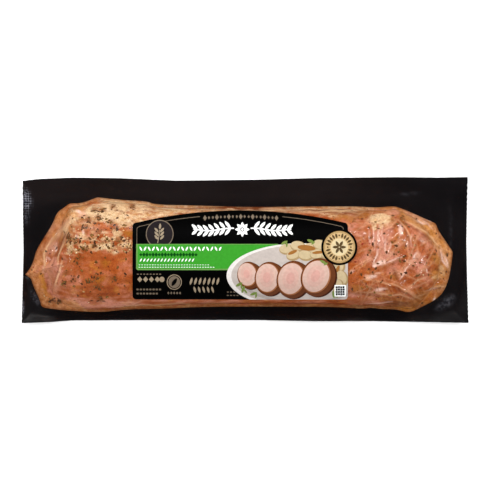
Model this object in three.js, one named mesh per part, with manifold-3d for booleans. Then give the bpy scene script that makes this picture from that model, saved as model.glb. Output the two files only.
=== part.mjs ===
// A seasoned pork loin in its vacuum pack, lying face up: a black backing film, the loin sealed under clear
// film, the clear film's welded rim and a die-cut label on top. Millimetres, +Z up, +X along the pack, and
// +Y to the fat-capped side. The origin is on the table, under the middle of the pack.

import * as THREE from "three";
import { mergeVertices } from "three/addons/utils/BufferGeometryUtils.js";
import Module from "manifold-3d";

const wasm = await Module();
wasm.setup();

// Driving dimensions of the pack.
const PACK_LENGTH = 322.6;
const PACK_WIDTH = 105.6;
const BACKING_THICKNESS = 0.5;
const RIM_FILM_THICKNESS = 0.4;
const PIECE_GAP = 0.3;
const EDGE_LIFT = 1.5; // how far the cut edge lifts off the table on the whole
const CORNER_CURL = 2.1; // and how much more it lifts at the corners

// How far the cut edge is drawn in from the full length and width, at places along each side.
const BACK_INSET = [
  [-161.3, 2.8], [-150, 1.5], [-125, 0.4], [-90, 0.9], [-50, 2.6], [-30, 2.4], [10, 1.9], [50, 0.7],
  [110, 0.1], [140, 0.4], [161.3, 0],
];
const FRONT_INSET = [
  [-161.3, 0], [-140, 0.8], [-125, 2], [-70, 2.3], [10, 2.2], [50, 1.4], [90, 1.5], [130, 0.8], [161.3, 0.2],
];
const LEFT_INSET = [[-52.8, 0], [-25, 0.6], [0, 1.2], [25, 0.8], [52.8, 0.6]];
const RIGHT_INSET = [[-52.8, 0.2], [-25, 1], [5, 1.6], [25, 1.3], [52.8, 0.7]];

// Driving dimensions of the sealed loin.
const LOIN_HEIGHT = 39.2; // crown above the table
const LEFT_FALL = 0.8; // how much lower the crown lies at the two ends of its spine
const RIGHT_FALL = 1.2;
const SPINE = { left: -116, right: 110, y: -5 };
const SKIRT_RINGS = 3;
const DOME_RINGS = 18;
const RING_CROWDING = 1.5; // above 1, the dome's rings crowd towards its steep foot
const CAP_SHARE = 0.93; // the rings stop this share of the way from the skirt to the spine
const FINE_STEP = 4.2; // spacing of the outline's points at the two ends
const COARSE_STEP = 11; // and along the plain sides
const SIDE_SKIRT = 2; // width of the low film skirt round the loin's foot
const LEFT_SKIRT = { width: 13, from: -122, to: -152 };
const RIGHT_SKIRT = { width: 8, from: 118, to: 144 };
const SKIRT_FOOT = 0.6; // height of the skirt's outer edge
const SKIRT_RISE = 1.2; // how much higher its inner edge is, at a width of nothing
const SKIRT_SLOPE = 0.42; // and how much that grows with its width
const SHOULDER_POWER = 3; // higher makes squarer shoulders
const SWELL = 0.45; // depth of the slow bulges in the meat beside the label

// The loin's outline on the backing, as the corners that its curve rounds off, from the drawn-out tip of the
// film at the left, over the fat-capped back edge, to the blunt right end and home along the front edge.
const OUTLINE = [
  [-159.4, -17.6], [-158, -16.6], [-153.4, -9.5], [-151.2, -0.5], [-147, 6.5], [-139, 19.2], [-136.2, 27.4],
  [-129.8, 31.6], [-126.8, 34.2], [-118, 33.9], [-107.2, 38.3], [-105.2, 38.2], [-88, 36.3], [-70.5, 35.5],
  [-65, 33], [-40, 32.6], [0, 31.2], [80, 32], [94, 30.8], [105, 31.9], [110.5, 31.5], [134.8, 20.6],
  [137.6, 19.5], [139.6, 13.8], [149.6, -0.4], [150, -2], [148.6, -13], [146.2, -24.5], [140.5, -34.5],
  [124, -43], [118, -45.6], [109, -42.9], [98, -42.9], [91, -41.7], [84, -42.7], [70, -41.4], [40, -41],
  [-30, -41], [-60, -42.6], [-84, -42.8], [-104, -45.2], [-128, -44], [-144, -42.2], [-147.6, -40.6],
  [-147.8, -37.4], [-153.6, -25], [-154.6, -20.6], [-158, -18.6],
];
const CORNER_PASSES = 3;

// Folds that the film and the meat under it stand up in. Each runs along its points.
const FOLDS = [
  { path: [[-131, 22], [-143, 2], [-144, -20], [-145, -32]], width: 2.4, height: 1.7 }, // left end, outer
  { path: [[-129, 9], [-134, -4], [-137, -16]], width: 2, height: 1.1 }, // left end, middle
  { path: [[-131, -11], [-137, -26]], width: 2.2, height: 1.6 }, // left end, inner
  { path: [[-128, 26], [-120, 24], [-112, 27]], width: 2.6, height: 1.1 }, // foot of the fat cap
  { path: [[108, 25], [119, 18], [134, 6], [140, -4]], width: 2.8, height: 1.6 }, // behind the right rim
  { path: [[109, 22], [117, 12], [123, 3], [130, -4]], width: 2, height: 1 }, // right end, middle
  { path: [[106, -12], [111, -24], [117, -10]], width: 2, height: 1.2 }, // tuck in the front
  { path: [[89, -25], [109, -27], [120, -32], [135, -37]], width: 2.6, height: 1.9 }, // long front fold
  { path: [[122, -26], [135, -20]], width: 2.2, height: 1.2 }, // right end, front
  { path: [[141, 2], [146, -12], [141, -21]], width: 2.2, height: 1.4 }, // right end, outer
  { path: [[97, 17], [95, 2], [92, -12]], width: 2.2, height: 0.9 }, // under the fat patch
  { path: [[104, -8], [116, -2]], width: 2, height: 0.8 }, // right end, short
];

// Herb and pepper flakes large enough to stand up under the film.
const FLAKE_COUNT = 68;
const FLAKE_SIZE = [1.9, 0.9, 0.5];
const FLAKE_LONGEST = 1.35; // times the size above
const FLAKE_SHORTEST = 0.75;
const FLAKE_FIELD = { left: -140, right: 140, front: -38, back: 32 };
const FLAKE_FROM_EDGE = 9;
const FLAKE_FROM_LABEL = 3.5;
const FLAKE_SPACING = 6;
const FLAKE_SEED = 23;

// Driving dimensions of the label.
const LABEL_THICKNESS = 0.4;
const LABEL_LEFT = -81;
const LABEL_RIGHT = 73.8;
const LABEL_BOTTOM = -35.1;
const LABEL_SHOULDER = 19.4; // where the arched top edge meets the sides
const LABEL_ARCH = 8.7; // rise of the arch over the shoulders
const LABEL_CORNER = 2.5;
const SEAL_CENTRE = [67.6, 2.1]; // the round seal that stands out past the label's right side
const SEAL_RADIUS = 13;
const LABEL_FOOT = 8; // the label stays above this height

const COLOURS = {
  backing: { color: 0x161315, roughness: 0.32, metalness: 0 },
  loin: { color: 0xb9744f, roughness: 0.3, metalness: 0 },
  rim: { color: 0x1c191b, roughness: 0.18, metalness: 0 },
  label: { color: 0x0b0b0c, roughness: 0.5, metalness: 0 },
};

const clamp = THREE.MathUtils.clamp;
const lerp = THREE.MathUtils.lerp;
const smoothstep = THREE.MathUtils.smoothstep;

// Cuts every corner of a closed outline, which turns it towards a smooth curve.
function cutCorners(points) {
  return points.flatMap(([x, y], i) => {
    const [nextX, nextY] = points[(i + 1) % points.length];
    return [
      [lerp(x, nextX, 0.25), lerp(y, nextY, 0.25)],
      [lerp(x, nextX, 0.75), lerp(y, nextY, 0.75)],
    ];
  });
}

// The spacing wanted between the outline's points: fine at the ends, coarse along the plain middle.
function outlineStep(x) {
  return lerp(COARSE_STEP, FINE_STEP, smoothstep(Math.abs(x), 72, 102));
}

// The loin's outline as a smooth closed curve, counter-clockwise from above.
function outlineCurve() {
  let curve = OUTLINE;
  for (let pass = 0; pass < CORNER_PASSES; pass += 1) curve = cutCorners(curve);
  return curve.reverse();
}

// The points of the outline that the solids are made from.
function outlinePoints(curve) {
  const travelled = [0];
  curve.forEach(([x, y], i) => {
    const [nextX, nextY] = curve[(i + 1) % curve.length];
    travelled.push(travelled[i] + Math.hypot(nextX - x, nextY - y) / outlineStep(x));
  });
  const count = Math.round(travelled[curve.length]);
  const stride = travelled[curve.length] / count;
  const points = [];
  let edge = 0;
  for (let i = 0; i < count; i += 1) {
    while (travelled[edge + 1] < i * stride) edge += 1;
    const share = (i * stride - travelled[edge]) / (travelled[edge + 1] - travelled[edge]);
    const [x, y] = curve[edge];
    const [nextX, nextY] = curve[(edge + 1) % curve.length];
    points.push(new THREE.Vector2(lerp(x, nextX, share), lerp(y, nextY, share)));
  }
  return points;
}

function nearestOnSpine(point) {
  return new THREE.Vector2(clamp(point.x, SPINE.left, SPINE.right), SPINE.y);
}

// Distance from a point to a path of straight pieces, and how far along it the nearest point is, 0 to 1.
function alongPath(x, y, path) {
  let nearest = { distance: Infinity, share: 0 };
  for (let i = 0; i + 1 < path.length; i += 1) {
    const [ax, ay] = path[i];
    const [dx, dy] = [path[i + 1][0] - ax, path[i + 1][1] - ay];
    const t = clamp(((x - ax) * dx + (y - ay) * dy) / (dx * dx + dy * dy), 0, 1);
    const distance = Math.hypot(x - ax - t * dx, y - ay - t * dy);
    if (distance < nearest.distance) nearest = { distance, share: (i + t) / (path.length - 1) };
  }
  return nearest;
}

// Folds, which taper to nothing at their ends, and the slow swell of the meat beside the label.
function reliefAt(x, y) {
  let relief = 0;
  for (const { path, width, height } of FOLDS) {
    const { distance, share } = alongPath(x, y, path);
    const taper = Math.sin(Math.PI * clamp(share, 0.06, 0.94)) ** 0.5;
    relief += height * taper * Math.exp(-((distance / width) ** 2));
  }
  const besideLabel = Math.max(smoothstep(x, LABEL_RIGHT + 6, 96), smoothstep(-x, -LABEL_LEFT + 4, 98));
  const bulges = Math.sin(x / 9.5 + y / 14) + Math.sin(y / 6.5 - x / 21) + 0.6 * Math.sin(x / 5.2 - y / 8.3);
  return relief + SWELL * besideLabel * bulges;
}

// A point of the sealed loin between an outline point and the spine. Going in, it first crosses the skirt,
// a share of 0 to 1, and then climbs the dome, likewise.
function loinPoint(edge, across, climb) {
  const spine = nearestOnSpine(edge);
  const reach = edge.distanceTo(spine);
  const skirt =
    SIDE_SKIRT +
    (LEFT_SKIRT.width - SIDE_SKIRT) * smoothstep(-edge.x, -LEFT_SKIRT.from, -LEFT_SKIRT.to) +
    (RIGHT_SKIRT.width - SIDE_SKIRT) * smoothstep(edge.x, RIGHT_SKIRT.from, RIGHT_SKIRT.to);
  const inset = across * skirt + climb * (reach - skirt);
  const place = edge.clone().lerp(spine, inset / reach);
  const foot = BACKING_THICKNESS + PIECE_GAP + SKIRT_FOOT;
  const skirtTop = foot + SKIRT_RISE + SKIRT_SLOPE * skirt;
  const fallRight = RIGHT_FALL * smoothstep(place.x, 20, SPINE.right);
  const fallLeft = LEFT_FALL * smoothstep(-place.x, 60, -SPINE.left);
  const crown = LOIN_HEIGHT - fallRight - fallLeft;
  const domed = (1 - (1 - climb) ** SHOULDER_POWER) ** 0.5;
  const height = lerp(lerp(foot, skirtTop, across ** 0.8), crown, domed);
  return new THREE.Vector3(place.x, place.y, height + reliefAt(place.x, place.y) * smoothstep(inset, 0, 6));
}

// The point on the pack's cut edge that faces an outline point, seen from the spine.
function packEdge(point) {
  const spine = nearestOnSpine(point);
  const [dx, dy] = [point.x - spine.x, point.y - spine.y];
  const toEnd = dx === 0 ? Infinity : (Math.sign(dx) * PACK_LENGTH / 2 - spine.x) / dx;
  const toSide = dy === 0 ? Infinity : (Math.sign(dy) * PACK_WIDTH / 2 - spine.y) / dy;
  const scale = Math.min(toEnd, toSide);
  return new THREE.Vector2(spine.x + dx * scale, spine.y + dy * scale);
}

// The whole cut edge: each corner of the pack is taken by the point that comes nearest to it.
function packOutline(outline) {
  const edge = outline.map(packEdge);
  for (const x of [-PACK_LENGTH / 2, PACK_LENGTH / 2]) {
    for (const y of [-PACK_WIDTH / 2, PACK_WIDTH / 2]) {
      const corner = new THREE.Vector2(x, y);
      const distances = edge.map((point) => point.distanceTo(corner));
      edge[distances.indexOf(Math.min(...distances))] = corner;
    }
  }
  return edge.map(drawnIn);
}

// The inset of a side at a place along it.
function insetAt(side, place) {
  const at = clamp(place, side[0][0], side[side.length - 1][0]);
  const next = Math.max(1, side.findIndex(([along]) => along >= at));
  const [from, low] = side[next - 1];
  const [to, high] = side[next];
  return lerp(low, high, (at - from) / (to - from));
}

// A point of the straight-sided rectangle moved to where the shrunken film's edge lies.
function drawnIn({ x, y }) {
  const endInset = insetAt(x > 0 ? RIGHT_INSET : LEFT_INSET, y);
  const sideInset = insetAt(y > 0 ? BACK_INSET : FRONT_INSET, x);
  return new THREE.Vector2(x * (1 - 2 * endInset / PACK_LENGTH), y * (1 - 2 * sideInset / PACK_WIDTH));
}

// How far the rim lifts off the table at its cut edge: slow waves, and corners that curl.
function edgeLift({ x, y }) {
  const waves = 0.8 * Math.sin(x / 17 + y / 40) + 0.45 * Math.sin(x / 7.3 + y / 19);
  const corner = smoothstep(Math.abs(x), 120, 161) * smoothstep(Math.abs(y), 18, 52);
  return EDGE_LIFT + waves + CORNER_CURL * corner;
}

// A point of the rim a share of the way from the outline out to the cut edge, at a level above the table.
// The lift comes slowly over the inner half of the rim and faster over the outer half.
function rimPoint(from, to, share, level) {
  const place = from.clone().lerp(to, share);
  const lifted = share < 0.5 ? 0.5 * share : 1.5 * share - 0.5;
  return new THREE.Vector3(place.x, place.y, level + edgeLift(to) * lifted);
}

function geometryFrom(points, triangles) {
  const geometry = new THREE.BufferGeometry().setFromPoints(points);
  geometry.setIndex(triangles.flat());
  geometry.computeVertexNormals();
  return geometry;
}

// Joins rings of equally many points, each counter-clockwise from above, into one closed surface. An open
// stack is capped at both ends, and a looped one runs from its last ring back to its first.
function ringSolid(rings, looped) {
  const count = rings[0].length;
  const points = rings.flat();
  const triangles = [];
  const last = looped ? rings.length : rings.length - 1;
  const apart = (a, b) => Math.hypot(points[a].x - points[b].x, points[a].y - points[b].y);
  for (let ring = 0; ring < last; ring += 1) {
    const low = ring * count;
    const high = ((ring + 1) % rings.length) * count;
    for (let i = 0; i < count; i += 1) {
      const next = (i + 1) % count;
      const [a, b, c, d] = [low + i, low + next, high + next, high + i];
      if (apart(a, c) < apart(b, d)) triangles.push([a, b, c], [a, c, d]);
      else triangles.push([a, b, d], [b, c, d]);
    }
  }
  if (!looped) {
    const top = (rings.length - 1) * count;
    for (const [a, b, c] of capTriangles(rings[0])) triangles.push([c, b, a]);
    for (const corners of capTriangles(rings[rings.length - 1])) triangles.push(corners.map((i) => top + i));
  }
  return geometryFrom(points, triangles);
}

// Fills a ring, counter-clockwise from above, with short triangles between its front and its back, from the
// left end to the right.
function capTriangles(ring) {
  const count = ring.length;
  const start = ring.reduce((best, point, i) => (point.x < ring[best].x ? i : best), 0);
  const triangles = [];
  let front = start;
  let back = start;
  for (let step = 0; step < count - 2; step += 1) {
    const nextFront = (front + 1) % count;
    const nextBack = (back + count - 1) % count;
    if (step === 0) {
      triangles.push([front, nextFront, nextBack]);
      [front, back] = [nextFront, nextBack];
    } else if (ring[nextFront].x < ring[nextBack].x) {
      triangles.push([front, nextFront, back]);
      front = nextFront;
    } else {
      triangles.push([front, nextBack, back]);
      back = nextBack;
    }
  }
  return triangles;
}

function asSolid(geometry) {
  const bare = geometry.clone();
  bare.deleteAttribute("normal");
  bare.deleteAttribute("uv");
  const merged = mergeVertices(bare, 1e-4);
  return new wasm.Manifold(
    new wasm.Mesh({
      numProp: 3,
      vertProperties: new Float32Array(merged.attributes.position.array),
      triVerts: new Uint32Array(merged.index.array),
    }),
  );
}

function asGeometry(solid) {
  const mesh = solid.getMesh();
  const geometry = new THREE.BufferGeometry();
  geometry.setAttribute("position", new THREE.BufferAttribute(new Float32Array(mesh.vertProperties), 3));
  geometry.setIndex(new THREE.BufferAttribute(new Uint32Array(mesh.triVerts), 1));
  geometry.computeVertexNormals();
  return geometry;
}

// The black film: flat under the loin, and lifting a little towards its cut edge.
function backingGeometry(outline, cutEdge) {
  const ring = (share, level) => outline.map((point, i) => rimPoint(point, cutEdge[i], share, level));
  const under = [0, 0.5, 1].map((share) => ring(share, 0));
  const over = [1, 0.5, 0].map((share) => ring(share, BACKING_THICKNESS));
  return ringSolid([...under, ...over], false);
}

// The clear film's rim, welded on the black film all round the loin.
function rimGeometry(outline, cutEdge) {
  const level = BACKING_THICKNESS + PIECE_GAP;
  const ring = (share, height) =>
    outline.map((point, i) => {
      const clearance = PIECE_GAP / point.distanceTo(cutEdge[i]);
      return rimPoint(point, cutEdge[i], Math.max(share, clearance), height);
    });
  const bottom = [0, 0.5, 1].map((share) => ring(share, level));
  const top = [1, 0.5, 0].map((share) => ring(share, level + RIM_FILM_THICKNESS));
  return ringSolid([...bottom, ...top], true);
}

// The loin with the film drawn tight over it.
function loinGeometry(outline) {
  const floor = BACKING_THICKNESS + PIECE_GAP;
  const rings = [outline.map((point) => new THREE.Vector3(point.x, point.y, floor))];
  for (let ring = 0; ring <= SKIRT_RINGS; ring += 1) {
    rings.push(outline.map((point) => loinPoint(point, ring / SKIRT_RINGS, 0)));
  }
  for (let ring = 1; ring <= DOME_RINGS; ring += 1) {
    const climb = CAP_SHARE * (ring / DOME_RINGS) ** RING_CROWDING;
    rings.push(outline.map((point) => loinPoint(point, 1, climb)));
  }
  return ringSolid(rings, false);
}

// Finds the top of a mesh, and the slope there, straight under a point.
function dropOnto(geometry) {
  const mesh = new THREE.Mesh(geometry, new THREE.MeshBasicMaterial());
  const ray = new THREE.Raycaster();
  const down = new THREE.Vector3(0, 0, -1);
  return (x, y) => {
    ray.set(new THREE.Vector3(x, y, 2 * LOIN_HEIGHT), down);
    const [hit] = ray.intersectObject(mesh);
    return hit ? { height: hit.point.z, normal: hit.face.normal.clone() } : null;
  };
}

// A repeatable run of numbers from 0 to 1.
function seededRandom(seed) {
  let state = seed;
  return () => {
    state = (Math.imul(state, 1664525) + 1013904223) >>> 0;
    return state / 2 ** 32;
  };
}

function isByLabel(x, y) {
  const beside = x > LABEL_LEFT - FLAKE_FROM_LABEL && x < SEAL_CENTRE[0] + SEAL_RADIUS + FLAKE_FROM_LABEL;
  return beside && y > LABEL_BOTTOM - FLAKE_FROM_LABEL;
}

// The flakes, each a low faceted lens half sunk in the meat, scattered clear of the label and of each other.
function flakeSolids(curve, topOf) {
  const random = seededRandom(FLAKE_SEED);
  const placed = [];
  const solids = [];
  while (solids.length < FLAKE_COUNT) {
    const x = lerp(FLAKE_FIELD.left, FLAKE_FIELD.right, random());
    const y = lerp(FLAKE_FIELD.front, FLAKE_FIELD.back, random());
    const turn = random() * Math.PI;
    const size = lerp(FLAKE_SHORTEST, FLAKE_LONGEST, random());
    const fromEdge = Math.min(...curve.map(([edgeX, edgeY]) => Math.hypot(edgeX - x, edgeY - y)));
    const crowded = placed.some(([px, py]) => Math.hypot(px - x, py - y) < FLAKE_SPACING);
    const top = topOf(x, y);
    if (!top || fromEdge < FLAKE_FROM_EDGE || crowded || isByLabel(x, y)) continue;
    placed.push([x, y]);
    const up = new THREE.Vector3(0, 0, 1);
    const spin = new THREE.Quaternion().setFromAxisAngle(up, turn);
    const tilt = new THREE.Quaternion().setFromUnitVectors(up, top.normal);
    const lens = new THREE.IcosahedronGeometry(1, 0);
    lens.scale(...FLAKE_SIZE.map((length) => length * size));
    lens.applyQuaternion(tilt.multiply(spin)).translate(x, y, top.height);
    solids.push(asSolid(lens));
  }
  return solids;
}

// The label's flat outline: straight sides, an arched top edge and rounded corners.
function labelShape() {
  const west = LABEL_LEFT + LABEL_CORNER;
  const east = LABEL_RIGHT - LABEL_CORNER;
  const low = LABEL_BOTTOM + LABEL_CORNER;
  const high = LABEL_SHOULDER - LABEL_CORNER;
  const half = (east - west) / 2;
  const archRadius = (half ** 2 + LABEL_ARCH ** 2) / (2 * LABEL_ARCH);
  const archCentre = LABEL_SHOULDER + LABEL_ARCH - archRadius;
  const archAngle = Math.asin(half / archRadius);
  const quarter = Math.PI / 2;
  const shape = new THREE.Shape();
  shape.moveTo(west, LABEL_BOTTOM);
  shape.lineTo(east, LABEL_BOTTOM);
  shape.absarc(east, low, LABEL_CORNER, -quarter, 0, false);
  shape.absarc(east, high, LABEL_CORNER, 0, quarter - archAngle, false);
  shape.absarc((west + east) / 2, archCentre, archRadius, quarter - archAngle, quarter + archAngle, false);
  shape.absarc(west, high, LABEL_CORNER, quarter + archAngle, 2 * quarter, false);
  shape.absarc(west, low, LABEL_CORNER, 2 * quarter, 3 * quarter, false);
  return shape;
}

// An upright prism that stands on the height below which the label doesn't reach.
function prism(shape, curveSegments) {
  const depth = 2 * LOIN_HEIGHT;
  const geometry = new THREE.ExtrudeGeometry(shape, { depth, bevelEnabled: false, curveSegments });
  return asSolid(geometry.translate(0, 0, LABEL_FOOT));
}

// A surface moved out along its own normals.
function swollen(geometry, distance) {
  const moved = geometry.clone();
  const position = moved.attributes.position;
  const normal = moved.attributes.normal;
  for (let i = 0; i < position.count; i += 1) {
    position.setXYZ(
      i,
      position.getX(i) + normal.getX(i) * distance,
      position.getY(i) + normal.getY(i) * distance,
      position.getZ(i) + normal.getZ(i) * distance,
    );
  }
  return moved;
}

// The label: a sheet that follows the loin under it, cut to the label's outline.
function labelGeometry(loin) {
  const outer = asSolid(swollen(loin, PIECE_GAP + LABEL_THICKNESS));
  const sheet = outer.subtract(asSolid(swollen(loin, PIECE_GAP)));
  const seal = new THREE.Shape().absarc(SEAL_CENTRE[0], SEAL_CENTRE[1], SEAL_RADIUS, 0, 2 * Math.PI, false);
  const cutter = prism(labelShape(), 5).add(prism(seal, 24));
  return asGeometry(sheet.intersect(cutter));
}

function named(name, geometry, finish) {
  const mesh = new THREE.Mesh(geometry, new THREE.MeshStandardMaterial({ ...finish, name }));
  mesh.name = name;
  return mesh;
}

const curve = outlineCurve();
const outline = outlinePoints(curve);
const cutEdge = packOutline(outline);
const bareLoin = loinGeometry(outline);
const topOf = dropOnto(bareLoin);
const flakes = flakeSolids(curve, topOf);
const seasonedLoin = asGeometry(flakes.reduce((loin, flake) => loin.add(flake), asSolid(bareLoin)));

const pack = new THREE.Group();
pack.name = "packed_pork_loin";
pack.add(named("black_backing_film", backingGeometry(outline, cutEdge), COLOURS.backing));
pack.add(named("sealed_pork_loin", seasonedLoin, COLOURS.loin));
pack.add(named("clear_film_rim", rimGeometry(outline, cutEdge), COLOURS.rim));
pack.add(named("label", labelGeometry(bareLoin), COLOURS.label));

export default pack;
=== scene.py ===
# A seasoned pork loin in its vacuum pack, lying face up and seen from straight above: a black backing film,
# the loin with its herbs under tight clear film, and a printed label. Lengths are millimetres, with +X along
# the pack, +Y to the fat-capped side and +Z up. Colours are 0 to 255.

import itertools
import math

import bpy
import numpy as np
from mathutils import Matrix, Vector
from mathutils.bvhtree import BVHTree
from mathutils.geometry import delaunay_2d_cdt


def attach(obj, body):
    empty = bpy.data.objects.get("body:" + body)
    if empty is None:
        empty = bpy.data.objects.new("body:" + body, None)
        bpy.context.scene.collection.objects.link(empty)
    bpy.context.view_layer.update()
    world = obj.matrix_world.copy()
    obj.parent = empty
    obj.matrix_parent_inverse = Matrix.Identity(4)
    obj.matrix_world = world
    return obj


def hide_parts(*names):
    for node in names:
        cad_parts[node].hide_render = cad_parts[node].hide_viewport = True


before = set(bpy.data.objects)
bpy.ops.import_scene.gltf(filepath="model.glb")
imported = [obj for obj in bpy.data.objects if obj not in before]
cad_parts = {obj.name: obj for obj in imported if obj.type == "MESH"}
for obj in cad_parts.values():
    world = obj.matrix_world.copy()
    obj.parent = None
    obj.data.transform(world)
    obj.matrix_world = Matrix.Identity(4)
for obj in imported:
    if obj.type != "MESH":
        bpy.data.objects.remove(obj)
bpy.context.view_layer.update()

METRES = 0.001

# Driving dimensions of the pack, as in the solids.
PACK_LENGTH = 322.6
PACK_WIDTH = 105.6
BACKING_THICKNESS = 0.5
PIECE_GAP = 0.3
EDGE_LIFT = 1.5
CORNER_CURL = 2.1

# How far the cut edge is drawn in from the full length and width, at places along each side.
BACK_INSET = [
    (-161.3, 2.8), (-150, 1.5), (-125, 0.4), (-90, 0.9), (-50, 2.6), (-30, 2.4), (10, 1.9), (50, 0.7),
    (110, 0.1), (140, 0.4), (161.3, 0),
]
FRONT_INSET = [
    (-161.3, 0), (-140, 0.8), (-125, 2), (-70, 2.3), (10, 2.2), (50, 1.4), (90, 1.5), (130, 0.8),
    (161.3, 0.2),
]
LEFT_INSET = [(-52.8, 0), (-25, 0.6), (0, 1.2), (25, 0.8), (52.8, 0.6)]
RIGHT_INSET = [(-52.8, 0.2), (-25, 1), (5, 1.6), (25, 1.3), (52.8, 0.7)]

# Driving dimensions of the sealed loin, as in the solids.
LOIN_HEIGHT = 39.2
LEFT_FALL = 0.8
RIGHT_FALL = 1.2
SPINE_LEFT = -116
SPINE_RIGHT = 110
SPINE_Y = -5
SIDE_SKIRT = 2
LEFT_SKIRT = {"width": 13, "from": -122, "to": -152}
RIGHT_SKIRT = {"width": 8, "from": 118, "to": 144}
SKIRT_FOOT = 0.6
SKIRT_RISE = 1.2
SKIRT_SLOPE = 0.42
SHOULDER_POWER = 3
SWELL = 0.45
OUTLINE = [
    [-159.4, -17.6], [-158, -16.6], [-153.4, -9.5], [-151.2, -0.5], [-147, 6.5], [-139, 19.2],
    [-136.2, 27.4], [-129.8, 31.6], [-126.8, 34.2], [-118, 33.9], [-107.2, 38.3], [-105.2, 38.2],
    [-88, 36.3], [-70.5, 35.5], [-65, 33], [-40, 32.6], [0, 31.2], [80, 32], [94, 30.8], [105, 31.9],
    [110.5, 31.5], [134.8, 20.6], [137.6, 19.5], [139.6, 13.8], [149.6, -0.4], [150, -2], [148.6, -13],
    [146.2, -24.5], [140.5, -34.5], [124, -43], [118, -45.6], [109, -42.9], [98, -42.9], [91, -41.7],
    [84, -42.7], [70, -41.4], [40, -41], [-30, -41], [-60, -42.6], [-84, -42.8], [-104, -45.2],
    [-128, -44], [-144, -42.2], [-147.6, -40.6], [-147.8, -37.4], [-153.6, -25], [-154.6, -20.6],
    [-158, -18.6],
]
FLAKE_CURVE_PASSES = 3  # the large flakes keep their distance from this rougher curve, as in the solids
CURVE_PASSES = 5

# Folds that the film and the meat under it stand up in, as (path, width, height), as in the solids.
FOLDS = [
    ([[-131, 22], [-143, 2], [-144, -20], [-145, -32]], 2.4, 1.7),
    ([[-129, 9], [-134, -4], [-137, -16]], 2, 1.1),
    ([[-131, -11], [-137, -26]], 2.2, 1.6),
    ([[-128, 26], [-120, 24], [-112, 27]], 2.6, 1.1),
    ([[108, 25], [119, 18], [134, 6], [140, -4]], 2.8, 1.6),
    ([[109, 22], [117, 12], [123, 3], [130, -4]], 2, 1),
    ([[106, -12], [111, -24], [117, -10]], 2, 1.2),
    ([[89, -25], [109, -27], [120, -32], [135, -37]], 2.6, 1.9),
    ([[122, -26], [135, -20]], 2.2, 1.2),
    ([[141, 2], [146, -12], [141, -21]], 2.2, 1.4),
    ([[97, 17], [95, 2], [92, -12]], 2.2, 0.9),
    ([[104, -8], [116, -2]], 2, 0.8),
]

# Finer folds, of the film alone.
FINE_FOLDS = [
    ([[-134.3, 15.2], [-139, 8], [-143.7, 2.2]], 0.9, 0.5),
    ([[-131.8, 5.8], [-133.5, -3], [-135.8, -13.3]], 0.7, 0.55),
    ([[-128.6, -8], [-131, -16], [-134.8, -24]], 0.8, 0.7),
    ([[-144.8, -2], [-145.6, -14], [-144.6, -29.5]], 0.7, 0.5),
    ([[-127, 12], [-124, 17], [-118, 20]], 0.9, 0.4),
    ([[-122, 31], [-116, 28], [-108, 30]], 0.9, 0.4),
    ([[99.3, -11.5], [107, -6.5], [115.9, -2.8]], 0.8, 0.7),
    ([[123.9, 10.9], [127, 3], [131.1, -5]], 0.8, 0.6),
    ([[106.6, -12.9], [109, -18], [110.9, -22.3]], 0.7, 0.6),
    ([[116.7, -10.4], [114, -17], [110.9, -22.3]], 0.7, 0.6),
    ([[89.2, -23.7], [101.5, -25.9], [111.6, -28.4], [119.5, -31.7], [127.5, -36.7]], 0.9, 0.9),
    ([[82.8, -35.3], [98.6, -35.3], [111.6, -32.1]], 0.8, 0.6),
    ([[124.6, -27.3], [135, -26], [146.2, -25.2]], 0.8, 0.6),
    ([[114.5, 21.3], [124.6, 15.2], [137.6, 8]], 0.9, 0.7),
    ([[139, -3], [142.5, -9], [144.5, -15]], 0.8, 0.6),
    ([[117.5, 14], [120.5, 8], [122, 1]], 0.8, 0.5),
    ([[95, 3.5], [92.5, -5], [89.5, -13]], 1.1, 0.7),
]

# A row of short upright folds on the right part, also of the film alone.
RIGHT_WRINKLES = {
    "from": 88.5, "step": 2.2, "count": 8, "back": 18.5, "front": 1, "width": 0.62, "height": 0.5,
}

# Large flakes, placed as in the solids.
FLAKE_COUNT = 68
FLAKE_SIZE = [1.9, 0.9, 0.5]
FLAKE_LONGEST = 1.35
FLAKE_SHORTEST = 0.75
FLAKE_FIELD = {"left": -140, "right": 140, "front": -38, "back": 32}
FLAKE_FROM_EDGE = 9
FLAKE_FROM_LABEL = 3.5
FLAKE_SPACING = 6
FLAKE_SEED = 23

# Driving dimensions of the label, as in the solids.
LABEL_THICKNESS = 0.4
LABEL_LEFT = -81
LABEL_RIGHT = 73.8
LABEL_BOTTOM = -35.1
LABEL_SHOULDER = 19.4
LABEL_ARCH = 8.7
LABEL_CORNER = 2.5
SEAL_CENTRE = [67.6, 2.1]
SEAL_RADIUS = 13

# How finely the pieces are made.
EDGE_STEP = 0.82
SKIRT_RINGS = 15
DOME_RINGS = 70
FLANGE_RINGS = 14
SPINE_SHARE = 0.985  # the last ring stops this share of the way to the spine
CLIMB_SAMPLES = 4000
ARC_STEP = 0.8
LINE_STEP = 1.2
LABEL_STEP = 1.5
LABEL_STEP_ON_SLOPES = 0.45
LABEL_SLOPE = 12  # the label is steep this far in from its front and its back
WELD_DISTANCE = 1e-4

# How far the pieces lie over each other.
MEAT_OVER_BACKING = {"underside": 0.15, "top": 0.2}
FILM_OVER_BACKING = 0.1
FILM_OVER_MEAT = 0.32
LABEL_OVER_FILM = 0.12


def lerp(low, high, share):
    return low + (high - low) * share


def clipped(value):
    return np.clip(value, 0, 1)


def smoothstep(value, low, high):
    share = clipped((value - low) / (high - low))
    return share * share * (3 - 2 * share)


def rgb(red, green, blue):
    """A linear colour with alpha from the three values of a display."""
    shares = [value / 255 for value in (red, green, blue)]
    linear = [share / 12.92 if share <= 0.04045 else ((share + 0.055) / 1.055) ** 2.4 for share in shares]
    return (*linear, 1)


# Noise


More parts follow.
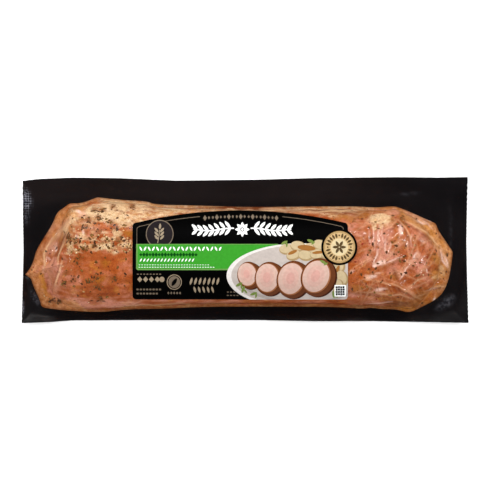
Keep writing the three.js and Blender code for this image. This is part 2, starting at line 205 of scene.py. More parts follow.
def hashed(column, row, seed):
    """A repeatable number from 0 to 1 for each cell of a lattice."""
    mixed = (column * 374761393 + row * 668265263 + seed * 974634777) & 0xFFFFFFFF
    mixed = ((mixed ^ (mixed >> 13)) * 1274126177) & 0xFFFFFFFF
    return ((mixed ^ (mixed >> 16)) & 0xFFFF) / 0xFFFF


def noise(x, y, size, seed):
    """Smooth noise from -1 to 1, with bumps about one size across. A pair gives a length and a width."""
    wide, high = size if isinstance(size, tuple) else (size, size)
    turn = 0 if isinstance(size, tuple) else 0.7 * seed
    u = (x * math.cos(turn) + y * math.sin(turn)) / wide
    v = (y * math.cos(turn) - x * math.sin(turn)) / high
    column, row = np.floor(u).astype(np.int64), np.floor(v).astype(np.int64)
    along, up = smoothstep(u - column, 0, 1), smoothstep(v - row, 0, 1)
    near = lerp(hashed(column, row, seed), hashed(column + 1, row, seed), along)
    far = lerp(hashed(column, row + 1, seed), hashed(column + 1, row + 1, seed), along)
    return 2 * lerp(near, far, up) - 1


def cloudy(x, y, size, seed):
    """Three layers of noise, each half as large and half as strong as the one before."""
    total = 0
    for layer, share in enumerate((1, 0.5, 0.25)):
        bumps = tuple(side * share for side in size) if isinstance(size, tuple) else size * share
        total = total + noise(x, y, bumps, seed + 11 * layer) * share
    return total / 1.75


# The loin's form


def cut_corners(points):
    following = np.roll(points, -1, axis=0)
    return np.stack([lerp(points, following, 0.25), lerp(points, following, 0.75)], axis=1).reshape(-1, 2)


def outline_curve(passes):
    """The loin's outline as a closed curve, counter-clockwise from above."""
    curve = np.array(OUTLINE, float)
    for _ in range(passes):
        curve = cut_corners(curve)
    return curve[::-1]


def travelled(*steps):
    """Distance travelled at each point of a line, from the steps between its points along two axes."""
    return np.concatenate([[0], np.cumsum(np.hypot(*steps))])


def spaced(curve, step):
    """The points of a closed curve, about a step apart and even in number."""
    closed = np.vstack([curve, curve[:1]])
    distance = travelled(*np.diff(closed, axis=0).T)
    count = 2 * round(distance[-1] / step / 2)
    places = np.linspace(0, distance[-1], count, endpoint=False)
    return np.column_stack([np.interp(places, distance, closed[:, axis]) for axis in (0, 1)])


def along_path(x, y, path):
    """Distance to a path of straight pieces, and how far along it the nearest point is, 0 to 1."""
    nearest, share = np.full(x.shape, np.inf), np.zeros(x.shape)
    for index, ((ax, ay), (bx, by)) in enumerate(itertools.pairwise(path)):
        dx, dy = bx - ax, by - ay
        t = clipped(((x - ax) * dx + (y - ay) * dy) / (dx * dx + dy * dy))
        distance = np.hypot(x - ax - t * dx, y - ay - t * dy)
        closer = distance < nearest
        nearest = np.where(closer, distance, nearest)
        share = np.where(closer, (index + t) / (len(path) - 1), share)
    return nearest, share


def soft_line(x, y, path, width, strength, blunt, power):
    """A line that fades to both sides and tapers to both ends. A blunt one tapers less."""
    distance, share = along_path(x, y, path)
    taper = np.sin(math.pi * np.clip(share, blunt, 1 - blunt)) ** power
    return strength * taper * np.exp(-((distance / width) ** 2))


def ridges(x, y, folds):
    """The height of rounded folds. Each is its path, width and height."""
    height = np.zeros(x.shape)
    for path, width, rise in folds:
        height += soft_line(x, y, path, width, rise, 0.06, 0.5)
    return height


def strokes(x, y, lines):
    """How strongly soft lines cover each point. Each is its path, width and strength."""
    cover = np.zeros(x.shape)
    for path, width, strength in lines:
        cover = np.maximum(cover, soft_line(x, y, path, width, strength, 0.04, 0.4))
    return cover


def patches(x, y, spots):
    """How strongly soft ovals cover each point. Each is its centre, two half sizes, turn and strength."""
    cover = np.zeros(x.shape)
    for across, up, length, width, turn, strength in spots:
        cosine, sine = math.cos(math.radians(turn)), math.sin(math.radians(turn))
        u = ((x - across) * cosine + (y - up) * sine) / length
        v = ((y - up) * cosine - (x - across) * sine) / width
        cover = np.maximum(cover, strength * np.exp(-((u * u + v * v) ** 1.5)))
    return cover


def relief_at(x, y):
    """The large folds and the slow swell of the meat beside the label, as in the solids."""
    beside = np.maximum(smoothstep(x, LABEL_RIGHT + 6, 96), smoothstep(-x, -LABEL_LEFT + 4, 98))
    bulges = np.sin(x / 9.5 + y / 14) + np.sin(y / 6.5 - x / 21) + 0.6 * np.sin(x / 5.2 - y / 8.3)
    return ridges(x, y, FOLDS) + SWELL * beside * bulges


def nearest_on_spine(edge):
    return np.column_stack([np.clip(edge[:, 0], SPINE_LEFT, SPINE_RIGHT), np.full(len(edge), SPINE_Y)])


def domed(climb):
    """How high the dome has risen after a share of the way to the spine, 0 to 1."""
    return (1 - (1 - climb) ** SHOULDER_POWER) ** 0.5


def loin_ring(edge, across, climb):
    """One ring of the sealed loin: it first crosses the skirt and then climbs the dome, each 0 to 1."""
    spine = nearest_on_spine(edge)
    reach = np.hypot(*(edge - spine).T)
    skirt = (
        SIDE_SKIRT
        + (LEFT_SKIRT["width"] - SIDE_SKIRT) * smoothstep(-edge[:, 0], -LEFT_SKIRT["from"], -LEFT_SKIRT["to"])
        + (RIGHT_SKIRT["width"] - SIDE_SKIRT) * smoothstep(edge[:, 0], RIGHT_SKIRT["from"], RIGHT_SKIRT["to"])
    )
    inset = across * skirt + climb * (reach - skirt)
    x, y = lerp(edge, spine, (inset / reach)[:, None]).T
    foot = BACKING_THICKNESS + PIECE_GAP + SKIRT_FOOT
    skirt_top = foot + SKIRT_RISE + SKIRT_SLOPE * skirt
    fall_right = RIGHT_FALL * smoothstep(x, 20, SPINE_RIGHT)
    fall_left = LEFT_FALL * smoothstep(-x, 60, -SPINE_LEFT)
    crown = LOIN_HEIGHT - fall_right - fall_left
    height = lerp(lerp(foot, skirt_top, across**0.8), crown, domed(climb))
    return np.column_stack([x, y, height + relief_at(x, y) * smoothstep(inset, 0, 6)]), inset


def even_climbs():
    """Shares of the climb that lie evenly along the dome, over its steep foot and its flat top."""
    climb = np.linspace(0, SPINE_SHARE ** (1 / 3), CLIMB_SAMPLES) ** 3
    distance = travelled(np.diff(climb), np.diff(domed(climb)))
    return np.interp(np.linspace(0, distance[-1], DOME_RINGS + 1)[1:], distance, climb)


def loin_rings(edge):
    """Points of the whole sealed loin, ring by ring, and how far each lies in from the outline."""
    stages = [(ring / SKIRT_RINGS, 0) for ring in range(SKIRT_RINGS + 1)]
    stages += [(1, climb) for climb in even_climbs()]
    rings, insets = zip(*(loin_ring(edge, across, climb) for across, climb in stages))
    return np.array(rings), np.array(insets)


def ring_normals(rings):
    """Outward normals of a surface given as rings, counter-clockwise from above and from the foot up."""
    around = np.roll(rings, -1, axis=1) - np.roll(rings, 1, axis=1)
    inward = np.gradient(rings, axis=0)
    normals = np.cross(around, inward)
    return normals / np.linalg.norm(normals, axis=2, keepdims=True)


def ring_faces(ring_count, count):
    """Quads between rings that follow each other."""
    here = np.arange(ring_count - 1)[:, None] * count + np.arange(count)
    following = np.arange(ring_count - 1)[:, None] * count + (np.arange(count) + 1) % count
    return np.stack([here, following, following + count, here + count], axis=-1).reshape(-1, 4).tolist()


def slit_faces(ring, first):
    """Fills a long narrow ring, counter-clockwise from above, with triangles from its left end."""
    count = len(ring)
    start = int(np.argmin(ring[:, 0]))
    front, back = (start + 1) % count, (start - 1) % count
    faces = [[start, front, back]]
    for _ in range(count - 3):
        next_front, next_back = (front + 1) % count, (back - 1) % count
        if ring[next_front, 0] < ring[next_back, 0]:
            faces.append([front, next_front, back])
            front = next_front
        else:
            faces.append([front, next_back, back])
            back = next_back
    return [[corner + first for corner in face] for face in faces]


def roofed_faces(rings):
    """Faces of stacked rings, closed over the last one."""
    count = rings.shape[1]
    return ring_faces(len(rings), count) + slit_faces(rings[-1], (len(rings) - 1) * count)


def underside_faces(rings):
    """Faces that close stacked rings under the first one."""
    return [face[::-1] for face in slit_faces(rings[0], 0)]


# The rim

TOOTH_DEPTH = 0.16
RAGGED_DEPTH = 0.12


def reach_to(start, way, half):
    """How many times a way has to be taken to meet the straight edge that it heads for."""
    with np.errstate(divide="ignore", invalid="ignore"):
        return np.where(way == 0, np.inf, (np.sign(way) * half - start) / way)


def cut_edge(edge):
    """The point on the pack's cut edge that faces each outline point, seen from the spine."""
    spine = nearest_on_spine(edge)
    way = edge - spine
    half = np.array([PACK_LENGTH, PACK_WIDTH]) / 2
    cut = spine + way * reach_to(spine, way, half).min(1, keepdims=True)
    for corner in itertools.product(*((-side, side) for side in half)):
        cut[np.argmin(np.hypot(*(cut - corner).T))] = corner
    return drawn_in(cut)


def inset_at(side, places):
    return np.interp(places, *np.transpose(side))


def drawn_in(cut):
    """Points of a rectangle moved to where the shrunken film's edge lies, its ends toothed."""
    x, y = cut.T
    end = np.where(x > 0, inset_at(RIGHT_INSET, y), inset_at(LEFT_INSET, y))
    side = np.where(y > 0, inset_at(BACK_INSET, x), inset_at(FRONT_INSET, x))
    on_end = np.abs(np.abs(x) - PACK_LENGTH / 2) < 1e-6
    clear_of_corner = smoothstep(PACK_WIDTH / 2 - np.abs(y), 0, 0.8)
    teeth = on_end * (TOOTH_DEPTH + TOOTH_DEPTH * (-1) ** np.arange(len(cut)) * clear_of_corner)
    ragged = ~on_end * RAGGED_DEPTH * np.abs(noise(x, y, 1.7, 5))
    along = x * (1 - 2 * (end + teeth) / PACK_LENGTH)
    up = y * (1 - 2 * (side + ragged) / PACK_WIDTH)
    return np.column_stack([along, up])


def edge_lift(x, y):
    """How far the cut edge lifts off the table, as in the solids."""
    waves = 0.8 * np.sin(x / 17 + y / 40) + 0.45 * np.sin(x / 7.3 + y / 19)
    corner = smoothstep(np.abs(x), 120, 161) * smoothstep(np.abs(y), 18, 52)
    return EDGE_LIFT + waves + CORNER_CURL * corner


# Creases of the flat rim, as (path, width, height).
RIM_CREASES = [
    ([[54, 42.6], [95, 43.4], [133, 42.2]], 0.9, 0.35),
    ([[-154.5, -29], [-152.5, -34], [-149, -39]], 1.4, 0.35),
    ([[133, -41], [140, -37.5], [150, -35]], 1.3, 0.45),
    ([[136, -44], [144, -41.5], [150, -41]], 1.1, 0.5),
    ([[147, 30], [147.6, 10], [147, -12]], 0.8, 0.2),
    ([[151.5, 36], [151.2, 8], [152, -22]], 0.8, 0.2),
    ([[-140, 43], [-112, 44.6], [-84, 43.2]], 1.2, 0.22),
    ([[-60, -47], [-20, -46], [30, -47.2]], 1.1, 0.22),
]


def rim_relief(x, y):
    """Creases and slow waves of the flat rim."""
    waves = 0.12 * noise(x, y, (14.0, 6.0), 31) + 0.04 * noise(x, y, 3.2, 32)
    return 0.16 + waves + ridges(x, y, RIM_CREASES)


def rim_rings(edge, cut, level):
    """Rings of the rim from the cut edge in to the outline, over the level that the film lies on."""
    rings = []
    for share in np.linspace(1, 0, FLANGE_RINGS):
        x, y = lerp(edge, cut, share).T
        from_outline = share * np.hypot(*(cut - edge).T)
        lifted = edge_lift(*cut.T) * (0.5 * share if share < 0.5 else 1.5 * share - 0.5)
        relief = rim_relief(x, y) * smoothstep(from_outline, 0, 3)
        rings.append(np.column_stack([x, y, np.maximum(level + lifted + relief, level)]))
    return np.array(rings)


# Meshes


def make_piece(name, points, faces, material, smooth=True, sharp_angle=None):
    """A mesh from points in millimetres."""
    mesh = bpy.data.meshes.new(name)
    mesh.from_pydata((np.asarray(points, float).reshape(-1, 3) * METRES).tolist(), [], faces)
    mesh.materials.append(material)
    mesh.polygons.foreach_set("use_smooth", [smooth] * len(mesh.polygons))
    if sharp_angle is not None:
        mesh.set_sharp_from_angle(angle=math.radians(sharp_angle))
    piece = bpy.data.objects.new(name, mesh)
    bpy.context.scene.collection.objects.link(piece)
    return piece


def add_mask(piece, name, values):
    attribute = piece.data.attributes.new(name, "FLOAT", "POINT")
    attribute.data.foreach_set("value", np.ascontiguousarray(values, np.float32).ravel())


def tree_of(points, faces):
    """The surface that other pieces are dropped onto."""
    return BVHTree.FromPolygons(np.asarray(points, float).reshape(-1, 3).tolist(), faces)


def drop(tree, x, y):
    """Where a plumb line meets a surface first, and the surface's normal there, for each point."""
    places, normals = [], []
    for across, up in zip(np.atleast_1d(x), np.atleast_1d(y)):
        place, normal, _, _ = tree.ray_cast(Vector((across, up, 2 * LOIN_HEIGHT)), Vector((0, 0, -1)))
        places.append(place)
        normals.append(normal if normal.z > 0 else -normal)
    return np.array(places), np.array(normals)


# Node trees


def fresh_material(name):
    material = bpy.data.materials.new(name)
    material.use_nodes = True
    material.node_tree.nodes.clear()
    return material, material.node_tree


def node(tree, kind, inputs=None, **settings):
    """A node with its settings, each input linked to a socket or set to a value."""
    made = tree.nodes.new(kind)
    for key, value in settings.items():
        setattr(made, key, value)
    for key, value in (inputs or {}).items():
        if isinstance(value, bpy.types.NodeSocket):
            tree.links.new(value, made.inputs[key])
        else:
            made.inputs[key].default_value = value
    return made


def mask(tree, name):
    return node(tree, "ShaderNodeAttribute", attribute_name=name).outputs["Fac"]


def place_in_metres(tree):
    return node(tree, "ShaderNodeTexCoord").outputs["Object"]


def node_noise(tree, per_metre, detail=2.0, stretch=None):
    """Noise from 0 to 1 with so many bumps in a metre, and stretched where asked."""
    place = place_in_metres(tree)
    if stretch:
        place = node(tree, "ShaderNodeMapping", {"Vector": place, "Scale": stretch}).outputs["Vector"]
    inputs = {"Vector": place, "Scale": per_metre, "Detail": detail}
    return node(tree, "ShaderNodeTexNoise", inputs).outputs["Fac"]


def ramp(tree, value, stops):
    """A colour that runs through stops, each a place from 0 to 1 and a colour."""
    made = node(tree, "ShaderNodeValToRGB", {"Fac": value})
    elements = made.color_ramp.elements
    while len(elements) < len(stops):
        elements.new(0.5)
    for element, (place, colour) in zip(elements, stops):
        element.position = place
        element.color = colour
    return made.outputs["Color"]


def tinted(tree, value, *stops):
    """A ramp through stops, each a place from 0 to 1 and the three values of a display colour."""
    return ramp(tree, value, [(place, rgb(*values)) for place, *values in stops])


def mixed(tree, share, first, second, blend="MIX"):
    """Two colours mixed. The node's colour sockets are the seventh and the eighth."""
    inputs = {0: share, 6: first, 7: second}
    return node(tree, "ShaderNodeMix", inputs, data_type="RGBA", blend_type=blend).outputs[2]


def computed(tree, operation, *values):
    return node(tree, "ShaderNodeMath", dict(enumerate(values)), operation=operation).outputs[0]


def between(tree, value, low, high):
    """A value from 0 to 1 brought to a range."""
    inputs = {"Value": value, "To Min": low, "To Max": high}
    return node(tree, "ShaderNodeMapRange", inputs).outputs["Result"]


def bumped(tree, height, millimetres):
    inputs = {"Height": height, "Distance": millimetres * METRES, "Strength": 1.0}
    return node(tree, "ShaderNodeBump", inputs).outputs["Normal"]


def finish_with(tree, shader):
    tree.links.new(shader.outputs[0], node(tree, "ShaderNodeOutputMaterial").inputs["Surface"])


def finish_solid(tree, colour, roughness, specular, others):
    """Ends the material of a solid surface."""
    inputs = {"Base Color": colour, "Roughness": roughness, "Specular IOR Level": specular, **others}
    finish_with(tree, node(tree, "ShaderNodeBsdfPrincipled", inputs))


# Backing film

# Where the black film has painted sheen and painted reflections: centre, half length, half width, turn and
# strength.
PAINTED_SHEENS = [
    (-158, 35.5, 3.2, 6.5, 0, 1.0), (-157.8, 25.5, 1.8, 6, 0, 0.35), (-160.4, -41.5, 0.9, 4.5, 0, 0.8),
    (-151.5, -34.5, 2.0, 5.5, 30, 0.2), (144.5, -38, 7.5, 3.0, 36, 0.19), (118.5, 40.6, 9, 0.9, 2, 0.06),
    (148, 8, 1.2, 22, 0, 0.04),
]
KNURLS_PER_METRE = 800.0


def backing_material():
    """Black film with a slight sheen, and painted sheen on its pressed seal and where air got under it."""
    material, tree = fresh_material("black_film")
    drift = node_noise(tree, 45, 3)
    black = tinted(tree, drift, (0.3, 9, 7, 9), (0.7, 15, 12, 14))
    black = mixed(tree, mask(tree, "lit"), black, rgb(28, 22, 22))
    # Painted sheen: a pale bluish tone for reflections on the film, dotted by the seal's knurl where it was
    # pressed.
    sheen_tone = tinted(tree, node_noise(tree, 420, 2), (0.35, 50, 52, 62), (0.65, 156, 156, 168))
    turn = {"Vector": place_in_metres(tree), "Rotation": (0, 0, math.radians(45))}
    knurls = {
        "Vector": node(tree, "ShaderNodeMapping", turn).outputs["Vector"],
        "Scale": KNURLS_PER_METRE,
        "Color1": (1, 1, 1, 1),
        "Color2": (0.06, 0.06, 0.06, 1),
    }
    knurled = node(tree, "ShaderNodeTexChecker", knurls).outputs["Color"]
    pressed = mixed(tree, mask(tree, "knurled"), sheen_tone, knurled, "MULTIPLY")
    colour = mixed(tree, mask(tree, "painted_sheen"), black, pressed)
    normal = bumped(tree, node_noise(tree, 900, 2), 0.02)
    finish_solid(tree, colour, between(tree, drift, 0.3, 0.46), 0.15, {"Normal": normal})
    return material


def make_backing(edge, cut):
    """The black film: flat under the loin, with a creased rim that lifts towards its cut edge."""
    over = rim_rings(edge, cut, BACKING_THICKNESS)
    under = over[::-1] - [0, 0, BACKING_THICKNESS]
    rings = np.concatenate([under, over])
    faces = roofed_faces(rings) + underside_faces(rings)
    piece = make_piece("backing_film", rings, faces, backing_material(), sharp_angle=50)
    x, y = rings.reshape(-1, 3)[:, :2].T
    add_mask(piece, "painted_sheen", patches(x, y, PAINTED_SHEENS))
    add_mask(piece, "lit", 0.7 * smoothstep(y, 28, 40) * (1 - smoothstep(x, 40, 150)))
    add_mask(piece, "knurled", smoothstep(-x, 148, 154))
    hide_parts("black_backing_film")
    return piece


# The label's outline, and what lies clear of it


def arch_circle():
    """Centre and radius of the label's arched top edge, and half the angle that it spans."""
    west, east = LABEL_LEFT + LABEL_CORNER, LABEL_RIGHT - LABEL_CORNER
    half = (east - west) / 2
    radius = (half**2 + LABEL_ARCH**2) / (2 * LABEL_ARCH)
    return ((west + east) / 2, LABEL_SHOULDER + LABEL_ARCH - radius), radius, math.asin(half / radius)


def label_distance(x, y):
    """Roughly how far a point lies outside the label, negative inside."""
    (across, up), radius, _ = arch_circle()
    top = np.hypot(x - across, y - up) - radius
    body = np.maximum.reduce([LABEL_LEFT - x, x - LABEL_RIGHT, LABEL_BOTTOM - y, top])
    return np.minimum(body, np.hypot(x - SEAL_CENTRE[0], y - SEAL_CENTRE[1]) - SEAL_RADIUS)


def arc(centre, radius, start, end):
    """Points along an arc between two angles in degrees."""
    count = max(3, math.ceil(abs(math.radians(end - start)) * radius / ARC_STEP) + 1)
    angles = np.radians(np.linspace(start, end, count))
    return np.column_stack([centre[0] + radius * np.cos(angles), centre[1] + radius * np.sin(angles)])


def straight(start, end):
    """Points along a straight line, without its two ends."""
    count = max(1, math.ceil(math.dist(start, end) / LINE_STEP))
    return np.array([lerp(np.array(start, float), np.array(end, float), i / count) for i in range(1, count)])


def label_outline():
    """The label's outline: an arched top edge, rounded corners and the seal standing out on the right."""
    west, east = LABEL_LEFT + LABEL_CORNER, LABEL_RIGHT - LABEL_CORNER
    low, high = LABEL_BOTTOM + LABEL_CORNER, LABEL_SHOULDER - LABEL_CORNER
    middle, radius, angle = arch_circle()
    lean = math.degrees(angle)
    seal_half = math.degrees(math.acos((LABEL_RIGHT - SEAL_CENTRE[0]) / SEAL_RADIUS))
    seal = arc(SEAL_CENTRE, SEAL_RADIUS, -seal_half, seal_half)
    stretches = [
        straight((west, LABEL_BOTTOM), (east, LABEL_BOTTOM)),
        arc((east, low), LABEL_CORNER, -90, 0),
        straight((LABEL_RIGHT, low), seal[0]),
        seal,
        straight(seal[-1], (LABEL_RIGHT, high)),
        arc((east, high), LABEL_CORNER, 0, 90 - lean),
        arc(middle, radius, 90 - lean, 90 + lean)[1:-1],
        arc((west, high), LABEL_CORNER, 90 + lean, 180),
        straight((LABEL_LEFT, high), (LABEL_LEFT, low)),
        arc((west, low), LABEL_CORNER, 180, 270),
    ]
    return np.vstack(stretches)


def inside(points, polygon):
    """Which points lie inside a closed polygon."""
    x, y = points.T
    crossings = np.zeros(len(points), bool)
    for (ax, ay), (bx, by) in zip(polygon, np.roll(polygon, -1, axis=0)):
        if ay == by:
            continue
        spans = (ay > y) != (by > y)
        crossings ^= spans & (x < (bx - ax) * (y - ay) / (by - ay) + ax)
    return crossings


# Seasoning and its places


def seeded_random(seed):
    """The same repeatable run of numbers from 0 to 1 that places the solid's flakes."""
    state = seed
    while True:
        state = (state * 1664525 + 1013904223) % 2**32
        yield state / 2**32


def large_flakes():
    """Place, turn and size of each large flake, found as in the solids."""
    curve = outline_curve(FLAKE_CURVE_PASSES)
    random = seeded_random(FLAKE_SEED)
    placed = []
    while len(placed) < FLAKE_COUNT:
        x = lerp(FLAKE_FIELD["left"], FLAKE_FIELD["right"], next(random))
        y = lerp(FLAKE_FIELD["front"], FLAKE_FIELD["back"], next(random))
        turn = next(random) * math.pi
        size = lerp(FLAKE_SHORTEST, FLAKE_LONGEST, next(random))
        near_edge = np.hypot(*(curve - [x, y]).T).min() < FLAKE_FROM_EDGE
        crowded = any(math.hypot(px - x, py - y) < FLAKE_SPACING for px, py, _, _ in placed)
        right = SEAL_CENTRE[0] + SEAL_RADIUS + FLAKE_FROM_LABEL
        by_label = LABEL_LEFT - FLAKE_FROM_LABEL < x < right and y > LABEL_BOTTOM - FLAKE_FROM_LABEL
        if near_edge or crowded or by_label or not inside(np.array([[x, y]]), curve)[0]:
            continue
        placed.append((x, y, turn, size))
    return placed


def flake_bumps(x, y, flakes):
    """How far the large flakes push the film up."""
    height = np.zeros(x.shape)
    for across, up, turn, size in flakes:
        u = (x - across) * math.cos(turn) + (y - up) * math.sin(turn)
        v = (y - up) * math.cos(turn) - (x - across) * math.sin(turn)
        far = (u / (1.1 * FLAKE_SIZE[0] * size)) ** 2 + (v / (1.3 * FLAKE_SIZE[1] * size)) ** 2
        height = np.maximum(height, FLAKE_SIZE[2] * size * np.exp(-far))
    return height


def seasoned_band(x, y):
    """The band of cream fat and thick seasoning along the left part, 0 to 1."""
    wander = 3.4 * cloudy(x, y, 8, 41) + 1.5 * noise(x, y, 2.6, 42)
    rows = smoothstep(y + wander, -2.2, 0.8) * (1 - smoothstep(y + wander, 7, 11))
    return rows * smoothstep(x + 1.5 * wander, -131, -125) * (1 - smoothstep(x, -60, -40))


# Creases that cross each other at the two ends, as (turn, distance between creases, rise).
CREASE_SETS = [(8, 6.5, 0.34), (62, 9.5, 0.42), (118, 8, 0.38), (151, 13, 0.55), (35, 5, 0.2)]
CREASE_HALF_WIDTH = 0.55


def crease_waves(x, y):
    """For each set of creases: its length, its rise at each point and its wave, 1 on crests and 0 between."""
    at_ends = np.maximum(smoothstep(x, 74, 84), 0.25 * smoothstep(-x, 104, 124))
    flank = lerp(0.35, 1, smoothstep(y, -38, -30))
    for index, (turn, length, rise) in enumerate(CREASE_SETS):
        u = x * math.cos(math.radians(turn)) + y * math.sin(math.radians(turn))
        place = (u + 2.6 * noise(x, y, 17, 81 + index)) / length
        strength = clipped(0.5 + 1.1 * noise(x, y, 13, 91 + index))
        yield length, at_ends * flank * rise * strength, np.abs(2 * (place % 1) - 1)


def facets(x, y):
    """Flat facets with sharp creases between them, as drawn film crumples over soft meat at its two ends."""
    return sum(rise * (wave - 0.5) for _, rise, wave in crease_waves(x, y))


def crease_lines(x, y, level):
    """Thin lines along the crests of the facets, at level 1, or along their troughs, at level 0."""
    lines = np.zeros(x.shape)
    for length, rise, wave in crease_waves(x, y):
        away = (wave - level) * length / 2
        lines = np.maximum(lines, 2.4 * rise * np.exp(-((away / CREASE_HALF_WIDTH) ** 2)))
    return clipped(lines)


def grain(x, y):
    """Small unevenness that the meat and the film over it share."""
    fine = 0.12 * cloudy(x, y, 3.4, 51) + 0.08 * cloudy(x, y, (6.0, 1.8), 52)
    return facets(x, y) + fine + 0.14 * seasoned_band(x, y) * cloudy(x, y, 2.6, 53)


def bare_share(x, y, insets):
    """Where the small unevenness shows, clear of the label and of the loin's foot, 0 to 1."""
    return smoothstep(label_distance(x, y), 0.5, 4) * smoothstep(insets, 0, 3)


def wrinkles():
    """The fine folds, with the row of short upright ones on the right part."""
    rows = []
    for index in range(RIGHT_WRINKLES["count"]):
        x = RIGHT_WRINKLES["from"] + index * RIGHT_WRINKLES["step"]
        lean = 1.2 * math.sin(2.3 * index)
        back = RIGHT_WRINKLES["back"] - 3 * abs(math.sin(1.7 * index))
        front = RIGHT_WRINKLES["front"] + 4 * abs(math.sin(2.9 * index))
        middle = lerp(front, back, 0.5)
        path = [[x + lean, back], [x - 0.5 * lean, middle], [x + 0.3 * lean, front]]
        rows.append((path, RIGHT_WRINKLES["width"], RIGHT_WRINKLES["height"]))
    return FINE_FOLDS + rows


# Clear film

# Where the film clings so wetly to the meat that it hardly shines, as soft patches.
WET_PATCHES = [(-97, 13, 27, 7, 0, 0.75), (-113, 0, 10, 12, 0, 0.5)]

# How much the tight film mirrors head on, how much more at a slant, and how late that sets in.
FILM_MIRRORS = {"head_on": 0.035, "aslant": 0.4, "power": 5.0}


def film_material():
    """Clear film: it mirrors a little head on, and more at a slant. Where it is welded flat it is duller."""
    material, tree = fresh_material("clear_film")
    facing = node(tree, "ShaderNodeLayerWeight", {"Blend": 0.5}).outputs["Facing"]
    steep = computed(tree, "POWER", facing, FILM_MIRRORS["power"])
    mirrored = computed(tree, "MULTIPLY_ADD", steep, FILM_MIRRORS["aslant"], FILM_MIRRORS["head_on"])
    loose = between(tree, mask(tree, "tight"), 0.2, 1.0)
    share = computed(tree, "MULTIPLY", mirrored, loose)
    normal = bumped(tree, node_noise(tree, 260, 3), 0.05)
    uneven = between(tree, node_noise(tree, 60, 2), -0.03, 0.03)
    dullness = between(tree, mask(tree, "tight"), 0.3, 0.12)
    roughness = computed(tree, "ADD", uneven, dullness)
    clear = node(tree, "ShaderNodeBsdfTransparent", {"Color": (0.985, 0.98, 0.97, 1)})
    gloss = node(tree, "ShaderNodeBsdfGlossy", {"Roughness": roughness, "Normal": normal})
    layers = {0: share, 1: clear.outputs[0], 2: gloss.outputs[0]}
    finish_with(tree, node(tree, "ShaderNodeMixShader", layers))
    return material


def make_film(edge, cut, loin, insets, flakes):
    """The clear film over the loin and the rim, and the surface that the label lies on."""
    x, y = loin[..., 0], loin[..., 1]
    relief = 0.9 * grain(x, y) + ridges(x, y, wrinkles()) + flake_bumps(x, y, flakes)
    dressed = loin + ring_normals(loin) * (bare_share(x, y, insets) * relief)[..., None]
    rim = rim_rings(edge, cut, BACKING_THICKNESS + FILM_OVER_BACKING)
    rings = np.concatenate([rim, dressed[1:]])
    faces = roofed_faces(rings)
    piece = make_piece("clear_film", rings, faces, film_material())
    foot = (len(rim) - 1) * len(edge)
    for line in piece.data.edges:
        line.use_edge_sharp = all(foot <= corner < foot + len(edge) for corner in line.vertices)
    tight = 1 - patches(rings[..., 0], rings[..., 1], WET_PATCHES)
    tight[: len(rim) - 1] = 0
    add_mask(piece, "tight", tight)
    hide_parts("clear_film_rim", "sealed_pork_loin")
    return piece, tree_of(rings, faces)


# Meat

# Soft patches of the meat's tones: centre, half length, half width, turn and strength.
FAT_PATCHES = [
    (98, 22, 9, 4.4, 0, 0.6), (64, 26.4, 16, 2.6, -5, 0.75), (-124, 17, 6, 3, 60, 0.4),
]

# Spots of cream fat, and painted highlights on the film, with clearer edges, in the same terms.
FAT_AND_GLINT_SPOTS = [
    (97.2, 22.4, 8.2, 3.9, 0, 1.0), (92.8, 17.4, 2.0, 3.6, 0, 0.9), (97.4, 17.8, 1.1, 2.8, 0, 0.8),
    (141.8, -14.5, 2.0, 4.4, 14, 1.1), (137.2, -19.6, 3.8, 1.3, 5, 0.9), (-109.6, 27.2, 6.4, 4.0, -8, 1.0),
    (-95, 28.6, 10, 8.4, 0, 1.0), (-76, 30, 9, 5, 0, 0.7), (-129, 13.4, 3, 3.4, 20, 0.7),
    (-127.2, 4.6, 1.8, 4.2, 0, 0.9), (-118.2, 10.4, 1.6, 4, 0, 0.5), (-110, 1.9, 9, 2.2, 2, 1.0),
    (-99, 2.7, 3, 2.2, 0, 1.0), (-89, 8, 3.4, 2.2, 0, 0.5), (-86.7, 18.2, 5, 2.0, -8, 0.9),
    (-90.5, 11.8, 3, 2.2, 0, 0.9), (-109.3, 7.2, 3.2, 1.7, 0, 0.8), (-100.3, 8, 4, 1.6, 0, 0.8),
    (-102, 22, 4.5, 1.8, 0, 0.8), (-101, 12.4, 5, 1.3, 10, 0.5), (-93.7, 13.9, 2.4, 3, 0, 0.8),
    (-122, 22.5, 3, 2, -30, 0.7),
]
GLINT_SPOTS = [
    (96.8, -9.2, 4.2, 1.9, 22, 0.9), (94.2, -3.4, 1.2, 6.6, -18, 0.5), (111.7, 14.4, 1.9, 4.2, 6, 0.85),
    (93.2, -11.4, 2.2, 1.5, 35, 1.0), (122.2, -4.4, 1.0, 3.2, -20, 0.8), (116.4, 4.2, 1.4, 3.2, -26, 0.35),
    (127.5, 6.2, 2.4, 1.0, -34, 0.65), (91.8, -19.1, 3.2, 1.3, 2, 0.95), (97.4, -28.7, 5.2, 1.3, 8, 0.85),
    (130.3, -15, 0.9, 2.4, 20, 0.7), (135.3, -28.1, 3.8, 0.7, 4, 0.5), (135.9, -35.6, 0.9, 1.8, -30, 0.8),
    (76.9, -15, 3, 1.6, 10, 0.5), (126.6, 20.3, 4, 1.1, -24, 0.7), (132.4, 22, 3.6, 0.9, -24, 0.75),
    (-136.1, 0.9, 1.1, 2.2, -8, 1.0), (-141.4, -6.2, 2.4, 0.8, -42, 0.85),
    (-120.2, 27.4, 2.2, 1.2, -38, 1.1), (-116.8, 12.8, 1.0, 2.4, 0, 0.6),
]
